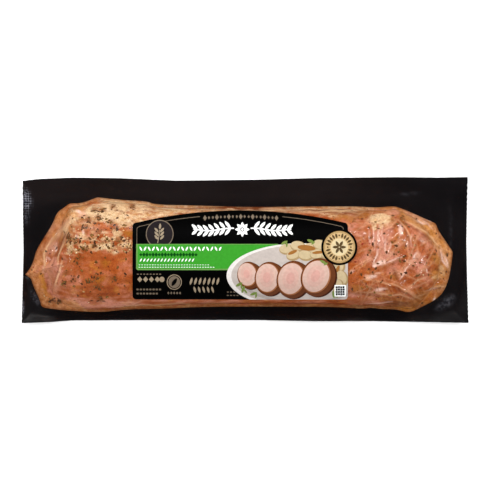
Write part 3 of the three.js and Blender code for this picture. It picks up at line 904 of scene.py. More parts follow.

# Thin painted highlights along the film's wrinkles, as (path, width, strength).
GLINT_LINES = [
    ([[89, 14.1], [88.8, 9], [89.6, 4.8]], 0.4, 0.7),
    ([[92.4, 16.6], [91.9, 8.6], [93.4, 1.1]], 0.42, 0.6),
    ([[96.5, 18], [95.9, 11], [96.8, 3.6]], 0.42, 0.7),
    ([[99.3, 17.5], [98.6, 11], [99.9, 6.1]], 0.4, 0.75),
    ([[101.2, 8.6], [100.8, 2.4], [101.7, -2.6]], 0.42, 0.9),
    ([[104, 6.1], [104.5, 2.4], [103, -1.4]], 0.38, 0.7),
    ([[95.6, 1.5], [93.4, -5], [92.2, -12]], 0.5, 1.0),
    ([[95.4, -11.8], [103, -8.6], [113, -4.6]], 0.42, 0.9),
    ([[116.9, -10.7], [113.5, -17], [110.7, -21.7]], 0.42, 0.8),
    ([[140.9, -0.1], [141.5, -6.3], [145.9, -12]], 0.6, 1.0),
    ([[143.5, -4.6], [145.2, -8], [146, -11.3]], 0.6, 0.9),
    ([[128, 21.5], [131.5, 18.8], [135, 15]], 0.5, 0.5),
    ([[119.5, 11.5], [118.2, 7], [119.4, 2.5]], 0.4, 0.45),
    ([[88, -38.6], [97, -38.2], [106, -37]], 0.4, 0.4),
]

# Where marinade stains the meat, and its other tones, as soft patches.
STAINS = [
    (-102.6, 17.8, 11, 1.9, -9, 1.0), (-84.2, 14.4, 5.5, 2.0, 0, 0.8), (-89, 0.3, 6, 1.8, 0, 0.6),
    (-123, -23, 3.4, 3, 0, 0.5), (-112, -11, 5, 3, 0, 0.35), (-113, 5.5, 5.5, 1.5, 0, 0.75),
    (-119, 13, 3.5, 2, 30, 0.5), (-90, -16, 9, 12, 0, 0.5), (-88, -27, 9, 8, 0, 0.5),
    (-104.8, -26.6, 10, 4, 10, 0.6), (-112, -20, 6, 5, 0, 0.3), (-126, 33, 6, 2, 10, 0.4),
    (-112, 34.2, 8, 2.2, 24, 0.8), (80, -8, 7, 8, 0, 0.45), (82, -20, 9, 10, 0, 0.85),
    (100, -20, 9, 4, 20, 0.45), (115.2, -3, 7, 5, 40, 0.5), (108, 6, 5, 4, 0, 0.7),
    (111.5, 6.4, 3.2, 2.6, 0, 0.6), (110.5, -10.5, 3.5, 4, 0, 0.45), (88, -24, 5, 7, 0, 0.55),
    (118, -35, 10, 3.4, 0, 0.6), (114, 7, 4, 5, 0, 0.65), (108.5, 12, 2.5, 6, 10, 0.7),
    (117, 12, 2.2, 7, 30, 0.75), (123, 4, 2.2, 9, 24, 0.8),
    (88, 12, 2, 9, -6, 0.45), (77, -2, 3, 7, 0, 0.7), (104, -27, 9, 2.4, -14, 0.6),
    (134.7, -12.9, 5, 4, 0, 0.8), (137, -24, 8, 3, 10, 0.8), (111.6, -39.6, 16, 4.5, -6, 0.75),
    (128, 4, 6, 4, -40, 0.5), (121, 12, 5, 3, -40, 0.5), (101, -31.5, 12, 2.2, -4, 0.6),
    (118, 26, 8, 3, -30, 0.4), (-146.5, 4.5, 9, 2.2, 57, 0.6), (-137, 19, 9, 2.2, 57, 0.25),
    (106, -37.4, 12, 2.2, 0, 0.9), (80, -34.5, 9, 2.4, 0, 0.7), (-92, -22, 14, 5, 0, 0.5),
    (84, 25, 9, 4, 0, 0.4), (122, -34, 10, 4, 20, 0.6), (108, -35, 16, 4, 0, 0.8),
    (130, -33, 9, 6, 30, 0.85),
]
# Painted highlights: the film's broad pale sheen over the meat, in the same terms.
SHEEN_PATCHES = [
    (-118, 26.2, 3.2, 2.2, -30, 0.45), (122, 24, 9, 3, -28, 0.35), (-138.4, 2, 2.6, 6.5, -20, 0.6),
    (-132.5, 13, 2.2, 7, -30, 0.25), (-135.3, -26.5, 2.6, 3.4, 0, 0.35), (-130.2, -7, 1.6, 6, -8, 0.18),
    (-139.5, 17, 2.2, 8, -33, 0.2), (-140.6, -18, 2.6, 9, 6, 0.2), (-140.8, -1.7, 1.8, 3, 0, 0.35),
    (97, -8.6, 5.4, 3, 22, 0.3), (94, -17.2, 2.8, 1.2, 0, 0.8), (112, 4.5, 3.4, 2.2, 40, 0.22),
    (119.5, -8, 2, 4, -30, 0.5), (122.6, -4, 1.8, 4.2, -12, 0.5), (116.5, 3.8, 2.6, 4, 10, 0.15),
    (127.6, 7, 2.6, 3.2, 40, 0.35), (131.5, 2, 1.6, 5, -20, 0.2), (143.3, -7, 1.7, 5, 20, 0.6),
    (90.5, -19.6, 3.2, 1.5, 0, 0.85), (113, -16, 2, 5, -30, 0.45), (80, 4, 3, 5, 0, 0.15),
    (-82, -37, 7, 1.2, 0, 0.4),
]
PINK_PATCHES = [
    (-128, -35, 13, 7, 0, 0.6), (-141, -14, 7, 14, 10, 0.4), (-127, -9, 5, 14, 10, 0.26),
    (-139, 12, 4, 12, -35, 0.4), (-104, -38.5, 22, 4.5, 0, 0.75), (-40, -39, 60, 3, 0, 0.4),
    (40, -39, 30, 3, 0, 0.2), (95, 0, 8, 12, 0, 0.35), (122, 13, 9, 4, -40, 0.5), (81, 19, 9, 6, 0, 0.25),
    (120, -12, 9, 7, 0, 0.35), (106, 29, 9, 2.4, 0, 0.5), (140, 2, 4, 6, 20, 0.4),
]
GOLD_PATCHES = [
    (118, -42, 11, 2.4, -6, 0.8), (132, -38, 7, 2.2, 30, 0.75), (120, 23, 10, 3, -28, 0.6),
    (133, 14, 9, 3, -45, 0.6), (142, 5, 6, 2.4, -52, 0.6), (-145.9, -23.5, 1.3, 9, 3, 0.95),
    (-128, 26, 4, 3, 40, 0.3), (-119, 29.6, 3.6, 2.4, 20, 0.6), (-123.5, 25.5, 2.6, 2.6, 40, 0.45),
    (-132, 8, 2.4, 5, -20, 0.5), (140, -26, 6, 3, 10, 0.4), (-136, 24, 5, 3, 50, 0.35),
    (100, 28.5, 10, 2, 0, 0.35), (136.8, -7, 3.4, 4.6, 0, 0.8), (139, -17.6, 5, 4, 0, 0.7),
    (140.5, -8, 4, 9, 8, 0.3),
]
OLIVE_PATCHES = [
    (-99.5, -10, 3, 3, 0, 0.7), (-103, -21, 5, 2.2, 20, 0.7), (-127, 14, 4, 4, 0, 0.4),
    (-145.6, -25, 1.2, 7, 3, 0.45), (-83.5, 12.6, 4.2, 2.6, 0, 0.95), (112, 25.4, 4, 2.2, -20, 0.6),
    (109, -18.6, 3.4, 3.6, 0, 0.7), (-145.6, -12, 1.4, 9, 0, 0.3), (72, 23.6, 9, 2.6, -8, 0.7),
    (99, -35, 10, 2.2, 0, 0.55), (126, 24, 8, 2.6, -38, 0.3), (118, -37, 14, 4, 0, 0.6),
    (126, -32.5, 8, 4, 20, 0.6), (103, 31.5, 10, 1.6, 0, 0.4), (84, 24.5, 7, 3, 0, 0.75),
    (66, 27.5, 8, 2, 0, 0.4),
]
SHADED_PATCHES = [
    (110, -38.3, 13, 2.6, 0, 0.8), (124, -33.5, 6, 3, 25, 0.5), (-2, 30.8, 36, 1.8, 0, 1.0),
    (30, 30.4, 18, 0.9, 0, 0.6), (52, 28.5, 8, 0.9, -6, 0.5), (78, 27.2, 6, 1.1, 4, 0.6),
    (-100, -43.5, 30, 1.2, 0, 0.5), (116, 4, 2.6, 2.2, 0, 0.35), (112, -37, 12, 4, 0, 0.4),
    (82, -26, 9, 3, 0, 0.2), (84, -31, 12, 1.6, -4, 0.4), (84, 23.5, 9, 3, 0, 0.22),
    (81, -37, 9, 2.4, 0, 0.4), (113, 20.8, 3, 3.6, 0, 0.5), (79, 25.4, 6, 1.8, 0, 0.3),
    (-134.5, 4, 1.8, 7, -14, 0.2), (-123, 30, 4.5, 2.2, 20, 0.25),
]

# Lines of the folds: painted highlights along their crests, and painted shade along their grooves, where
# marinade also gathers. Each is its path, width and strength.
CREST_HIGHLIGHTS = [
    ([[-122, 27], [-126.6, 20.6], [-131.4, 15.2], [-137.3, 9.3], [-142.7, 2.7]], 1.6, 0.65),
    ([[-137.3, 9.3], [-142.7, 2.7], [-145.1, -2.7], [-144.5, -10.5], [-145.4, -16.5]], 0.75, 0.95),
    ([[-124, 24], [-128.6, 16], [-131.6, 9.5]], 0.9, 0.7),
    ([[-131.5, -7.6], [-134.6, -18], [-136.8, -25]], 0.65, 1.0),
    ([[-129.6, 8], [-133.4, -2], [-135, -12]], 0.5, 0.85),
    ([[-127.5, 14], [-131.2, 6], [-135.5, -8]], 0.5, 0.5),
    ([[114.2, 21.6], [126, 15.4], [134.7, 8.6], [142.1, 0.5]], 0.7, 0.8),
    ([[119, 11], [121.5, 5], [120, -1]], 0.5, 0.4),
    ([[113, 8.5], [108, 5], [102, 3]], 0.5, 0.6),
    ([[85, -21], [97, -23], [106, -25], [117, -29.4], [127, -36]], 0.6, 0.6),
    ([[80, -29.5], [94, -30.6], [104, -33], [112, -32], [121, -35]], 0.6, 0.6),
    ([[128, -29.4], [138, -26.6], [146.2, -25.2]], 0.5, 0.65),
    ([[116, -27], [124, -22], [131, -20]], 0.5, 0.75),
    ([[76, -14], [84, -9], [92, -4]], 0.5, 0.45),
    ([[110.5, 22], [117, 12.5], [119.5, 6]], 0.5, 0.7),
    ([[138.5, 9], [142, 1], [143.5, -8]], 0.6, 0.3),
    ([[-96, -41], [-70, -39.8], [-40, -38.2]], 0.5, 0.5),
    ([[10, 29.9], [30, 28.8], [54, 29.5], [72, 28.5], [90, 29.5]], 0.5, 0.75),
    ([[28, 28.7], [50, 27.2], [66, 28.1], [84, 26.9]], 0.5, 0.75),
    ([[-30, 29.2], [0, 28.9], [24, 28.2]], 0.5, 0.6),
]
GROOVE_SHADES = [
    ([[-128, 15], [-132.2, 6], [-134.5, -5]], 0.9, 1.0),
    ([[-140.1, 13.6], [-146, 2], [-149.3, -6]], 1.6, 0.45),
    ([[-133, -9], [-136.2, -19], [-138.2, -25]], 0.7, 0.6),
    ([[-121, 22], [-112, 20.5], [-104, 19]], 0.9, 0.6),
    ([[105.8, -12], [108, -17], [110.4, -24]], 1.1, 0.95),
    ([[100, -12.4], [108.6, -8.4], [117, -4.4]], 0.6, 0.6),
    ([[109, 21], [115.5, 12], [118.5, 5]], 0.8, 0.8),
    ([[114.5, 19.8], [125, 13.4], [133.4, 7]], 0.8, 0.7),
    ([[85, -22.8], [97, -24.8], [106, -26.8], [117, -31.4], [127, -38]], 0.8, 0.95),
    ([[79, -31.5], [94, -32.6], [104, -35], [112, -34], [121, -37]], 0.7, 0.7),
    ([[123, -28.9], [135, -27.8], [146.2, -27]], 0.7, 0.9),
    ([[102, 14], [106, 15.5], [108, 19]], 0.9, 0.9),
    ([[139.6, -17.4], [139, -21], [134, -22.4]], 0.8, 0.4),
    ([[125.5, 9], [128.8, 2], [132.4, -5]], 0.8, 0.6),
    ([[134, 1], [137, -6], [136, -13]], 0.9, 0.25),
    ([[91.6, 13], [91.8, 7], [92, 2]], 0.45, 0.7),
    ([[95.5, 14], [96, 8], [95.6, 1]], 0.6, 0.6),
    ([[-60, -39.6], [0, -38.4], [70, -38.8]], 0.7, 0.6),
    ([[-100, -43], [-70, -41.6], [-50, -41]], 0.6, 0.6),
    ([[-20, 30], [20, 29.2], [60, 28.6]], 0.7, 0.6),
    ([[6, 28.9], [24, 29.7], [48, 28.3], [66, 29.5], [84, 28.7]], 0.5, 0.9),
    ([[22, 27.5], [42, 28.0], [60, 26.5], [76, 27.7], [92, 26.9]], 0.5, 0.9),
    ([[46, 30.5], [62, 29.3], [86, 30.6]], 0.45, 0.8),
    ([[60, 25.5], [72, 26.3], [86, 25.1]], 0.6, 0.8),
    ([[-78, 31.5], [-62, 30.6], [-46, 31.2], [-30, 30.2]], 0.5, 0.4),
    ([[-90, 27.5], [-76, 28.6], [-62, 27.6], [-48, 29.2]], 0.6, 0.3),
]


def dots(places, half_length, half_width):
    """Soft patches of one size at some places."""
    return [(across, up, half_length, half_width, 0, 0.8) for across, up in places]


def fat_cover(x, y, soft, streaks, blots, cream):
    """How fat the meat is: its cap, the strip beyond the label, a mottled middle, the band and the spots."""
    left = smoothstep(soft[0], -131, -121)
    cap = smoothstep(soft[1], 15.5, 19) * left * (1 - smoothstep(x, -10, 26))
    strip = smoothstep(y, 25, 29) * smoothstep(x, -20, 10) * (1 - smoothstep(x, 84, 96))
    middle = smoothstep(soft[1], 7, 9) * (1 - smoothstep(soft[1], 14, 18)) * left
    covers = [
        cap * clipped(0.74 + 0.8 * streaks + 0.7 * blots),
        strip * clipped(0.86 + 1.3 * streaks),
        middle * (1 - smoothstep(x, -70, -50)) * clipped(0.26 + 1.5 * blots),
        seasoned_band(x, y) * clipped(0.66 + 1.5 * blots),
        patches(*soft, FAT_PATCHES),
        cream,
    ]
    return np.maximum.reduce(covers)


def thin_cover(x, y, inset):
    """Where the meat is drawn out thin along its outline, and more widely at its two ends."""
    at_end = np.maximum(smoothstep(-x, 112, 126), smoothstep(x, 108, 122))
    width = lerp(2.5, 11, at_end)
    rim = 1 - smoothstep(inset + 1.6 * cloudy(x, y, 8, 67), 0.55 * width, width)
    return rim * (1 - 0.3 * smoothstep(-x, 112, 126))


def shade_cover(x, y, near, inset, streaks):
    """Where the meat is in shade: low on its front, at its foot and in single patches."""
    below = 1 - smoothstep(y + 1.2 * streaks, -40, -35)
    front = below * smoothstep(x, -95, -50) * (0.3 + 0.9 * streaks)
    foot = 0.55 * (1 - smoothstep(inset, 0.3, 2.2))
    single = patches(x, near[1], SHADED_PATCHES) * (1 + 0.6 * streaks)
    return clipped(np.maximum.reduce([front, foot, single]))


def meat_masks(x, y, z, inset):
    """Where the meat has each of its tones, painted shade and painted highlights among them, 0 to 1."""
    down = y + np.sign(y - SPINE_Y) * 0.6 * np.maximum(0, 0.8 * LOIN_HEIGHT - z)
    streaks = cloudy(x + 0.4 * y, down, (11.0, 2.1), 65)
    blots = cloudy(x + 0.6 * y, down, (5.0, 2.8), 79)
    # The points moved about a lot, a little and finely, so that patches laid there have uneven edges.
    soft = (
        x + 2.6 * cloudy(x, y, 7, 61) + 0.9 * noise(x, y, 1.8, 62),
        y + 2.2 * cloudy(x, y, 6, 63) + 0.8 * noise(x, y, 1.6, 64),
    )
    near = (x + 0.7 * noise(x, y, 5, 74), y + 0.7 * noise(x, y, 5, 75))
    torn = (x + cloudy(x, y, 3, 101), y + cloudy(x, y, 3, 102))
    # Cream fat, with painted glints in some of its spots.
    cream = smoothstep(patches(*torn, FAT_AND_GLINT_SPOTS), 0.26, 0.6) * clipped(0.9 + 0.6 * blots)
    pink = 0.35 * smoothstep(x, 60, 90) + 0.08 * smoothstep(-x, 112, 135) + 0.8 * cloudy(x, down, 9, 68)
    stain = patches(*soft, STAINS) * (1 + 0.35 * streaks) + 0.3 * cloudy(x, down, 6, 69)
    # Painted glints and highlights of the film, streaked, as the white tone.
    glint_streaks = clipped(0.82 + 0.5 * noise(x, y, (1.1, 2.4), 103))
    white = smoothstep(patches(*near, GLINT_SPOTS), 0.12, 0.95) * glint_streaks
    gold = 0.42 * smoothstep(cloudy(x, down, 4.4, 78), 0.3, 0.62)
    smudges = patches(*near, dots(HERB_CLUSTERS, 2.5, 2.0)) + patches(*near, dots(HERB_SPECKS, 1.3, 1.1))
    return {
        "fat": fat_cover(x, y, soft, streaks, blots, cream),
        "cream": 0.6 * cream,
        "rim": thin_cover(x, y, inset),
        "pink": clipped(0.27 + pink + patches(*soft, PINK_PATCHES) + 0.42 * streaks),
        "stain": clipped(stain),
        # Painted shade in the folds' grooves, and painted highlights on their crests and on the film.
        "groove_shade": np.maximum(0.85 * strokes(*near, GROOVE_SHADES), 0.3 * crease_lines(x, y, 0)),
        "crest_highlight": np.maximum(0.75 * strokes(*near, CREST_HIGHLIGHTS), 0.25 * crease_lines(x, y, 1)),
        "white": np.maximum(white, 0.9 * strokes(*near, GLINT_LINES)),
        "pale": clipped(patches(*soft, SHEEN_PATCHES)),
        "olive": clipped(patches(*soft, OLIVE_PATCHES)),
        "gold": np.maximum(gold, patches(*soft, GOLD_PATCHES)),
        "smudge": clipped(smudges + 0.6 * smoothstep(noise(x, down, 2.1, 77), 0.5, 0.9)),
        "shade": shade_cover(x, y, near, inset, streaks),
    }


def meat_material():
    """Seasoned raw pork: pink to brown lean, cream fat, orange marinade and thin drawn-out edges."""
    material, tree = fresh_material("seasoned_meat")
    mottle = node_noise(tree, 330, 4)
    fine = node_noise(tree, 1300, 2)
    lean = [(0.12, 141, 61, 20), (0.38, 162, 83, 41), (0.58, 177, 103, 71), (0.9, 204, 138, 117)]
    colour = tinted(tree, mixed(tree, 0.36, mask(tree, "pink"), mottle), *lean)
    rim = tinted(tree, mottle, (0.3, 161, 98, 51), (0.5, 189, 127, 77), (0.7, 213, 158, 109))
    fat = tinted(tree, mottle, (0.3, 182, 128, 78), (0.46, 208, 171, 127), (0.66, 224, 199, 166))
    stain = tinted(tree, mottle, (0.3, 150, 65, 16), (0.7, 187, 95, 36))
    # The pale, crest and white tones are painted highlights of the film, and the shade and groove tones are
    # painted shade.
    layers = [
        ("rim", rim), ("fat", fat), ("cream", rgb(216, 184, 144)), ("stain", stain),
        ("gold", rgb(198, 130, 54)), ("olive", rgb(160, 98, 30)), ("shade", rgb(99, 50, 22)),
        ("smudge", rgb(132, 70, 30)), ("groove_shade", rgb(120, 52, 22)), ("pale", rgb(224, 172, 146)),
        ("crest_highlight", rgb(232, 192, 150)), ("white", rgb(238, 204, 190)),
    ]
    for name, tone in layers:
        colour = mixed(tree, mask(tree, name), colour, tone)
    grainy = ramp(tree, fine, [(0.32, (0.76, 0.72, 0.68, 1)), (0.68, (1.15, 1.17, 1.19, 1))])
    colour = mixed(tree, 1.0, colour, grainy, "MULTIPLY")
    normal = bumped(tree, node_noise(tree, 700, 3, (1, 0.5, 1)), 0.12)
    finish_solid(tree, colour, between(tree, mottle, 0.38, 0.6), 0.08, {"Normal": normal})
    return material


def make_meat(loin, insets):
    """The loin under its film, closed by a flat underside, and the surface that the seasoning lies on."""
    x, y = loin[..., 0], loin[..., 1]
    relief = bare_share(x, y, insets) * grain(x, y) - FILM_OVER_MEAT
    raised = loin + ring_normals(loin) * relief[..., None]
    raised[..., 2] = np.maximum(raised[..., 2], BACKING_THICKNESS + MEAT_OVER_BACKING["top"])
    underside = raised[0] * [1, 1, 0] + [0, 0, BACKING_THICKNESS + MEAT_OVER_BACKING["underside"]]
    rings = np.concatenate([underside[None], raised])
    faces = roofed_faces(rings)
    piece = make_piece("pork_loin", rings, faces + underside_faces(rings), meat_material())
    deep = np.concatenate([insets[:1], insets])
    for name, values in meat_masks(*np.moveaxis(rings, -1, 0), deep).items():
        add_mask(piece, name, values)
    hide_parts("sealed_pork_loin")
    return piece, tree_of(rings, faces)


# Loose seasoning under the film

# Where herbs lie in clusters and in single specks.
HERB_CLUSTERS = [
    (-119.9, -6.4), (-123.5, -20.8), (-105.8, -26.6), (-112, -22.3), (-107.6, -19.4), (-94.3, -20.1),
    (-128.6, -16.5), (-130.7, -23.7), (-139.4, -36.7), (-134.3, -36.7), (-104, -35.3), (-115.2, 0.8),
    (-109.1, 3), (-121.3, 6.6), (-125.7, 6.6), (-127.8, 10.2), (-115.2, 16.7), (-105.5, 13), (-113.4, 22.1),
    (-105.8, 23.2), (-108.4, 28.9), (-102.6, 28.9), (-95.4, 31.1), (-81, 31.1), (-96.5, 20.3), (-93.2, 15.9),
    (-90.3, 7.3), (-82.4, 1.5),
]
HERB_SPECKS = [
    (105.8, 24.7), (105.4, 21.3), (112.3, 22.5), (114.8, 18.5), (118.2, 26.9), (130, 21.6), (140.2, 9.5),
    (140.2, 3), (145.5, -2.6), (135.9, -3.2), (135.9, 6.7), (126.3, 6.7), (120.7, 8.2), (117, 9.5),
    (109.2, 9.2), (105.8, 6), (113.6, 6.7), (111.1, -1.7), (108, -2.9), (113.9, -5.1), (112, -8.2),
    (105.8, -10.1), (125.7, -9.4), (121, -11), (138.1, -13.8), (145.2, -15), (89.3, -0.8), (89.3, -14.1),
    (91.5, -16.6), (83.1, -17.8), (90, -28.1), (83.7, -23), (83.5, -27.6), (90.6, 9.5), (77.9, 21.9),
    (76.6, 16.9), (88.1, 28.8), (72, 26.5), (66, 27.4),
]


def band_at(x, y):
    return float(seasoned_band(np.array([x]), np.array([y]))[0])


def heaped(x, y, places, size):
    """How close a point lies to the nearest of some places, 0 to 1."""
    return math.exp(-((min(math.hypot(x - across, y - up) for across, up in places) / size) ** 2))


# How thickly each kind of seasoning lies at a place, 0 to 1.


def herb_weight(x, y):
    clusters = 0.96 * heaped(x, y, HERB_CLUSTERS, 1.9) + 0.6 * heaped(x, y, HERB_SPECKS, 0.9)
    return 0.014 + clusters + 0.09 * band_at(x, y)


def speck_weight(x, y):
    return 0.25 + float(smoothstep(np.array(y), 24, 30)) * 0.15 + 0.55 * band_at(x, y)


def granule_weight(x, y):
    return 0.012 + band_at(x, y) + 0.12 * (-128 < x < -60) * (7 < y < 18)


def red_weight(x, y):
    return 0.4 if x < 0 else 1.0


# Each kind: how many, their lengths, their width and thickness as shares of the length, how pointed their
# ends are, how thickly they lie at a place, and their tones.
SEASONINGS = {
    "herb_flakes": {
        "count": 420, "lengths": (1.0, 2.9), "width": 0.62, "thick": 0.08, "point": 0.8,
        "weight": herb_weight, "seed": 3,
        "tones": [(0.0, 72, 42, 22), (0.35, 96, 60, 30), (0.7, 114, 80, 34), (1.0, 144, 108, 52)],
    },
    "pepper_specks": {
        "count": 400, "lengths": (0.5, 1.2), "width": 0.8, "thick": 0.25, "point": 0.2,
        "weight": speck_weight, "seed": 4,
        "tones": [(0.0, 64, 34, 22), (0.5, 116, 58, 30), (1.0, 146, 82, 42)],
    },
    "garlic_granules": {
        "count": 120, "lengths": (0.7, 2.1), "width": 0.72, "thick": 0.25, "point": 0.1,
        "weight": granule_weight, "seed": 5,
        "tones": [(0.0, 192, 141, 90), (0.5, 216, 176, 126), (1.0, 234, 206, 163)],
    },
    "red_flecks": {
        "count": 46, "lengths": (0.8, 2.0), "width": 0.7, "thick": 0.12, "point": 0.3,
        "weight": red_weight, "seed": 6,
        "tones": [(0.0, 124, 34, 20), (1.0, 176, 62, 34)],
    },
}
SEASONING_SIDES = 9
SEASONING_RAGGED = (0.72, 1.18)
SEASONING_SHORTNESS = 1.6  # above 1, most pieces are short ones
LARGE_FLAKE_LENGTH = 1.25  # times the length of the solid's flake
SEASONING_FROM_EDGE = 0.06  # as a share of the way to the spine
SEASONING_FROM_LABEL = 0.8
SEASONING_OVER_MEAT = {"rim": 0.04, "top": 0.06, "bottom": -0.05}
DRAWS_PER_PIECE = 60


def scattered(outline, kind):
    """Places for one kind of seasoning on what shows of the loin."""
    random = np.random.default_rng(kind["seed"])
    low, high = outline.min(0), outline.max(0)
    drawn = random.uniform((*low, 0), (*high, 1), (DRAWS_PER_PIECE * kind["count"], 3))
    clear_of_label = label_distance(drawn[:, 0], drawn[:, 1]) > SEASONING_FROM_LABEL
    drawn = drawn[inside(drawn[:, :2], outline) & clear_of_label]
    kept = [place for place in drawn if place[2] < kind["weight"](place[0], place[1])]
    return np.array(kept[: kind["count"]])[:, :2], random


def seasoning_material(name, tones):
    """Dried seasoning, each piece with a tone of its own, soaked and uneven."""
    material, tree = fresh_material(name)
    tone = tinted(tree, mask(tree, "tone"), *tones)
    darker, lighter = (0.7, 0.68, 0.62, 1), (1.15, 1.12, 1.08, 1)
    soaked = ramp(tree, node_noise(tree, 1500, 2), [(0.3, darker), (0.7, lighter)])
    colour = mixed(tree, 1.0, tone, soaked, "MULTIPLY")
    roughness = between(tree, node_noise(tree, 900, 2), 0.45, 0.7)
    normal = bumped(tree, node_noise(tree, 2200, 2), 0.05)
    finish_solid(tree, colour, roughness, 0.3, {"Normal": normal})
    return material


def lens_faces(count):
    """Triangles of so many lenses, each with its rim's points, its top and its bottom."""
    faces = []
    for first in range(0, count * (SEASONING_SIDES + 2), SEASONING_SIDES + 2):
        top, bottom = first + SEASONING_SIDES, first + SEASONING_SIDES + 1
        for side in range(SEASONING_SIDES):
            here, following = first + side, first + (side + 1) % SEASONING_SIDES
            faces += [[here, following, top], [following, here, bottom]]
    return faces


def make_seasoning(name, kind, surface, outline, flakes):
    """Many small ragged lenses of one kind, pressed onto the meat and joined in one mesh."""
    places, random = scattered(outline, kind)
    count = len(places)
    turns = random.uniform(0, 2 * math.pi, count)
    lengths = lerp(*kind["lengths"], random.uniform(0, 1, count) ** SEASONING_SHORTNESS)
    if name == "herb_flakes":
        large = np.array(flakes)
        places = np.vstack([places, large[:, :2]])
        turns = np.concatenate([turns, large[:, 2]])
        lengths = np.concatenate([lengths, LARGE_FLAKE_LENGTH * FLAKE_SIZE[0] * large[:, 3]])
        count = len(places)
    centres, normals = drop(surface, *places.T)
    ahead = np.column_stack([np.cos(turns), np.sin(turns), np.zeros(count)])
    ahead -= normals * (ahead * normals).sum(1, keepdims=True)
    ahead /= np.linalg.norm(ahead, axis=1, keepdims=True)
    aside = np.cross(normals, ahead)
    angles = np.linspace(0, 2 * math.pi, SEASONING_SIDES, endpoint=False)
    ragged = random.uniform(*SEASONING_RAGGED, (count, SEASONING_SIDES))
    pinch = 1 - kind["point"] * np.abs(np.cos(angles)) ** 3
    along = np.cos(angles) * ragged * lengths[:, None] / 2
    across = np.sin(angles) * pinch * ragged * (lengths * kind["width"])[:, None] / 2
    thickness = (lengths * kind["thick"])[:, None]
    rims = centres[:, None] + ahead[:, None] * along[..., None] + aside[:, None] * across[..., None]
    rims = rims + (normals * (SEASONING_OVER_MEAT["rim"] + 0.2 * thickness))[:, None]
    tops = centres + normals * (SEASONING_OVER_MEAT["top"] + thickness)
    bottoms = centres + normals * SEASONING_OVER_MEAT["bottom"]
    points = np.concatenate([rims, tops[:, None], bottoms[:, None]], axis=1)
    piece = make_piece(name, points, lens_faces(count), seasoning_material(name, kind["tones"]))
    add_mask(piece, "tone", np.repeat(random.uniform(0, 1, count), SEASONING_SIDES + 2))
    return piece


# Print on the label: each shape is an ink and an outline, and a later shape lies over an earlier one.

INKS = {
    "black": (2, 2, 2), "gold_line": (112, 99, 84), "tan": (150, 134, 112), "badge_grey": (33, 28, 30),
    "white": (250, 250, 248), "green": (56, 146, 42), "olive_green": (98, 142, 72),
    "dark_green": (8, 62, 14), "plate": (183, 172, 165), "plate_shade": (162, 152, 146),
    "plate_rim": (218, 212, 208), "roast_dark": (62, 30, 18), "roast_brown": (98, 54, 30),
    "roast_light": (150, 94, 58), "pink": (203, 170, 156), "pink_middle": (204, 164, 151),
    "pink_heart": (203, 155, 143), "potato": (190, 170, 134), "potato_shade": (160, 136, 98),
    "gravy": (148, 98, 48), "leaf_green": (110, 128, 62), "cream": (190, 160, 113),
    "pale_cream": (206, 187, 147), "seal_gold": (132, 104, 62), "ink_brown": (84, 66, 42),
    "block_dark": (30, 30, 36),
}


def disc(centre, radius, sides=40):
    return oval(centre, radius, radius, 0, sides)


def oval(centre, half_length, half_width, turn=0, sides=40):
    angles = np.linspace(0, 2 * math.pi, sides, endpoint=False)
    return turned(np.column_stack([half_length * np.cos(angles), half_width * np.sin(angles)]), turn, centre)


def turned(points, degrees, centre):
    """Points about the origin, turned and moved to a centre."""
    cosine, sine = math.cos(math.radians(degrees)), math.sin(math.radians(degrees))
    x, y = np.asarray(points, float).T
    return np.column_stack([x * cosine - y * sine + centre[0], x * sine + y * cosine + centre[1]])


def leaf(centre, length, width, turn=0, sides=14):
    """A leaf with pointed ends."""
    along = np.linspace(-1, 1, sides)
    upper = np.column_stack([along * length / 2, (1 - along**2) ** 0.8 * width / 2])
    lower = upper[-2:0:-1] * [1, -1]
    return turned(np.vstack([upper, lower]), turn, centre)


def lozenge(centre, half_length, half_width, turn=0):
    return turned([[half_length, 0], [0, half_width], [-half_length, 0], [0, -half_width]], turn, centre)


def bar(left, bottom, right, top, corner=0.3):
    """An upright rectangle with rounded corners."""
    west, east, low, high = left + corner, right - corner, bottom + corner, top - corner
    corners = [((east, low), -90), ((east, high), 0), ((west, high), 90), ((west, low), 180)]
    return np.vstack([arc(centre, corner, start, start + 90) for centre, start in corners])


def stroke(points, width):
    """A line of even width as a closed outline."""
    points = np.asarray(points, float)
    way = np.gradient(points, axis=0)
    aside = np.column_stack([-way[:, 1], way[:, 0]]) / np.hypot(*way.T)[:, None] * width / 2
    return np.vstack([points + aside, (points - aside)[::-1]])


def around(centre, distance, angle):
    """A point at some distance from a centre, in a direction in radians."""
    return (centre[0] + distance * math.cos(angle), centre[1] + distance * math.sin(angle))


def row_of(count, ink, form, start, step, *sizes):
    """So many like shapes, each a step further right."""
    return [(ink, form((start[0] + step * i, start[1]), *sizes)) for i in range(count)]


HAIRLINE_INSET = 3.1
HAIRLINE_WIDTH = 0.34
BAND = {"left": -78.4, "right": 24.5, "top": 4.4, "bottom": -14.35}
NAME_PLACE = {"centre": (-2.1, 14.6), "half": 35.2, "leaves": 7}
BADGE = {"centre": (-61.5, 11.4), "radius": 9.95}
EMBLEM = {"centre": (-51.0, -22.8), "radius": 5.4}
PLATE = {"centre": (39.5, -18.3), "half_length": 52.9, "half_width": 23.1}
BLOCK = {"left": 64.15, "bottom": -33.0, "side": 8.2, "cells": 4, "margin": 0.8}

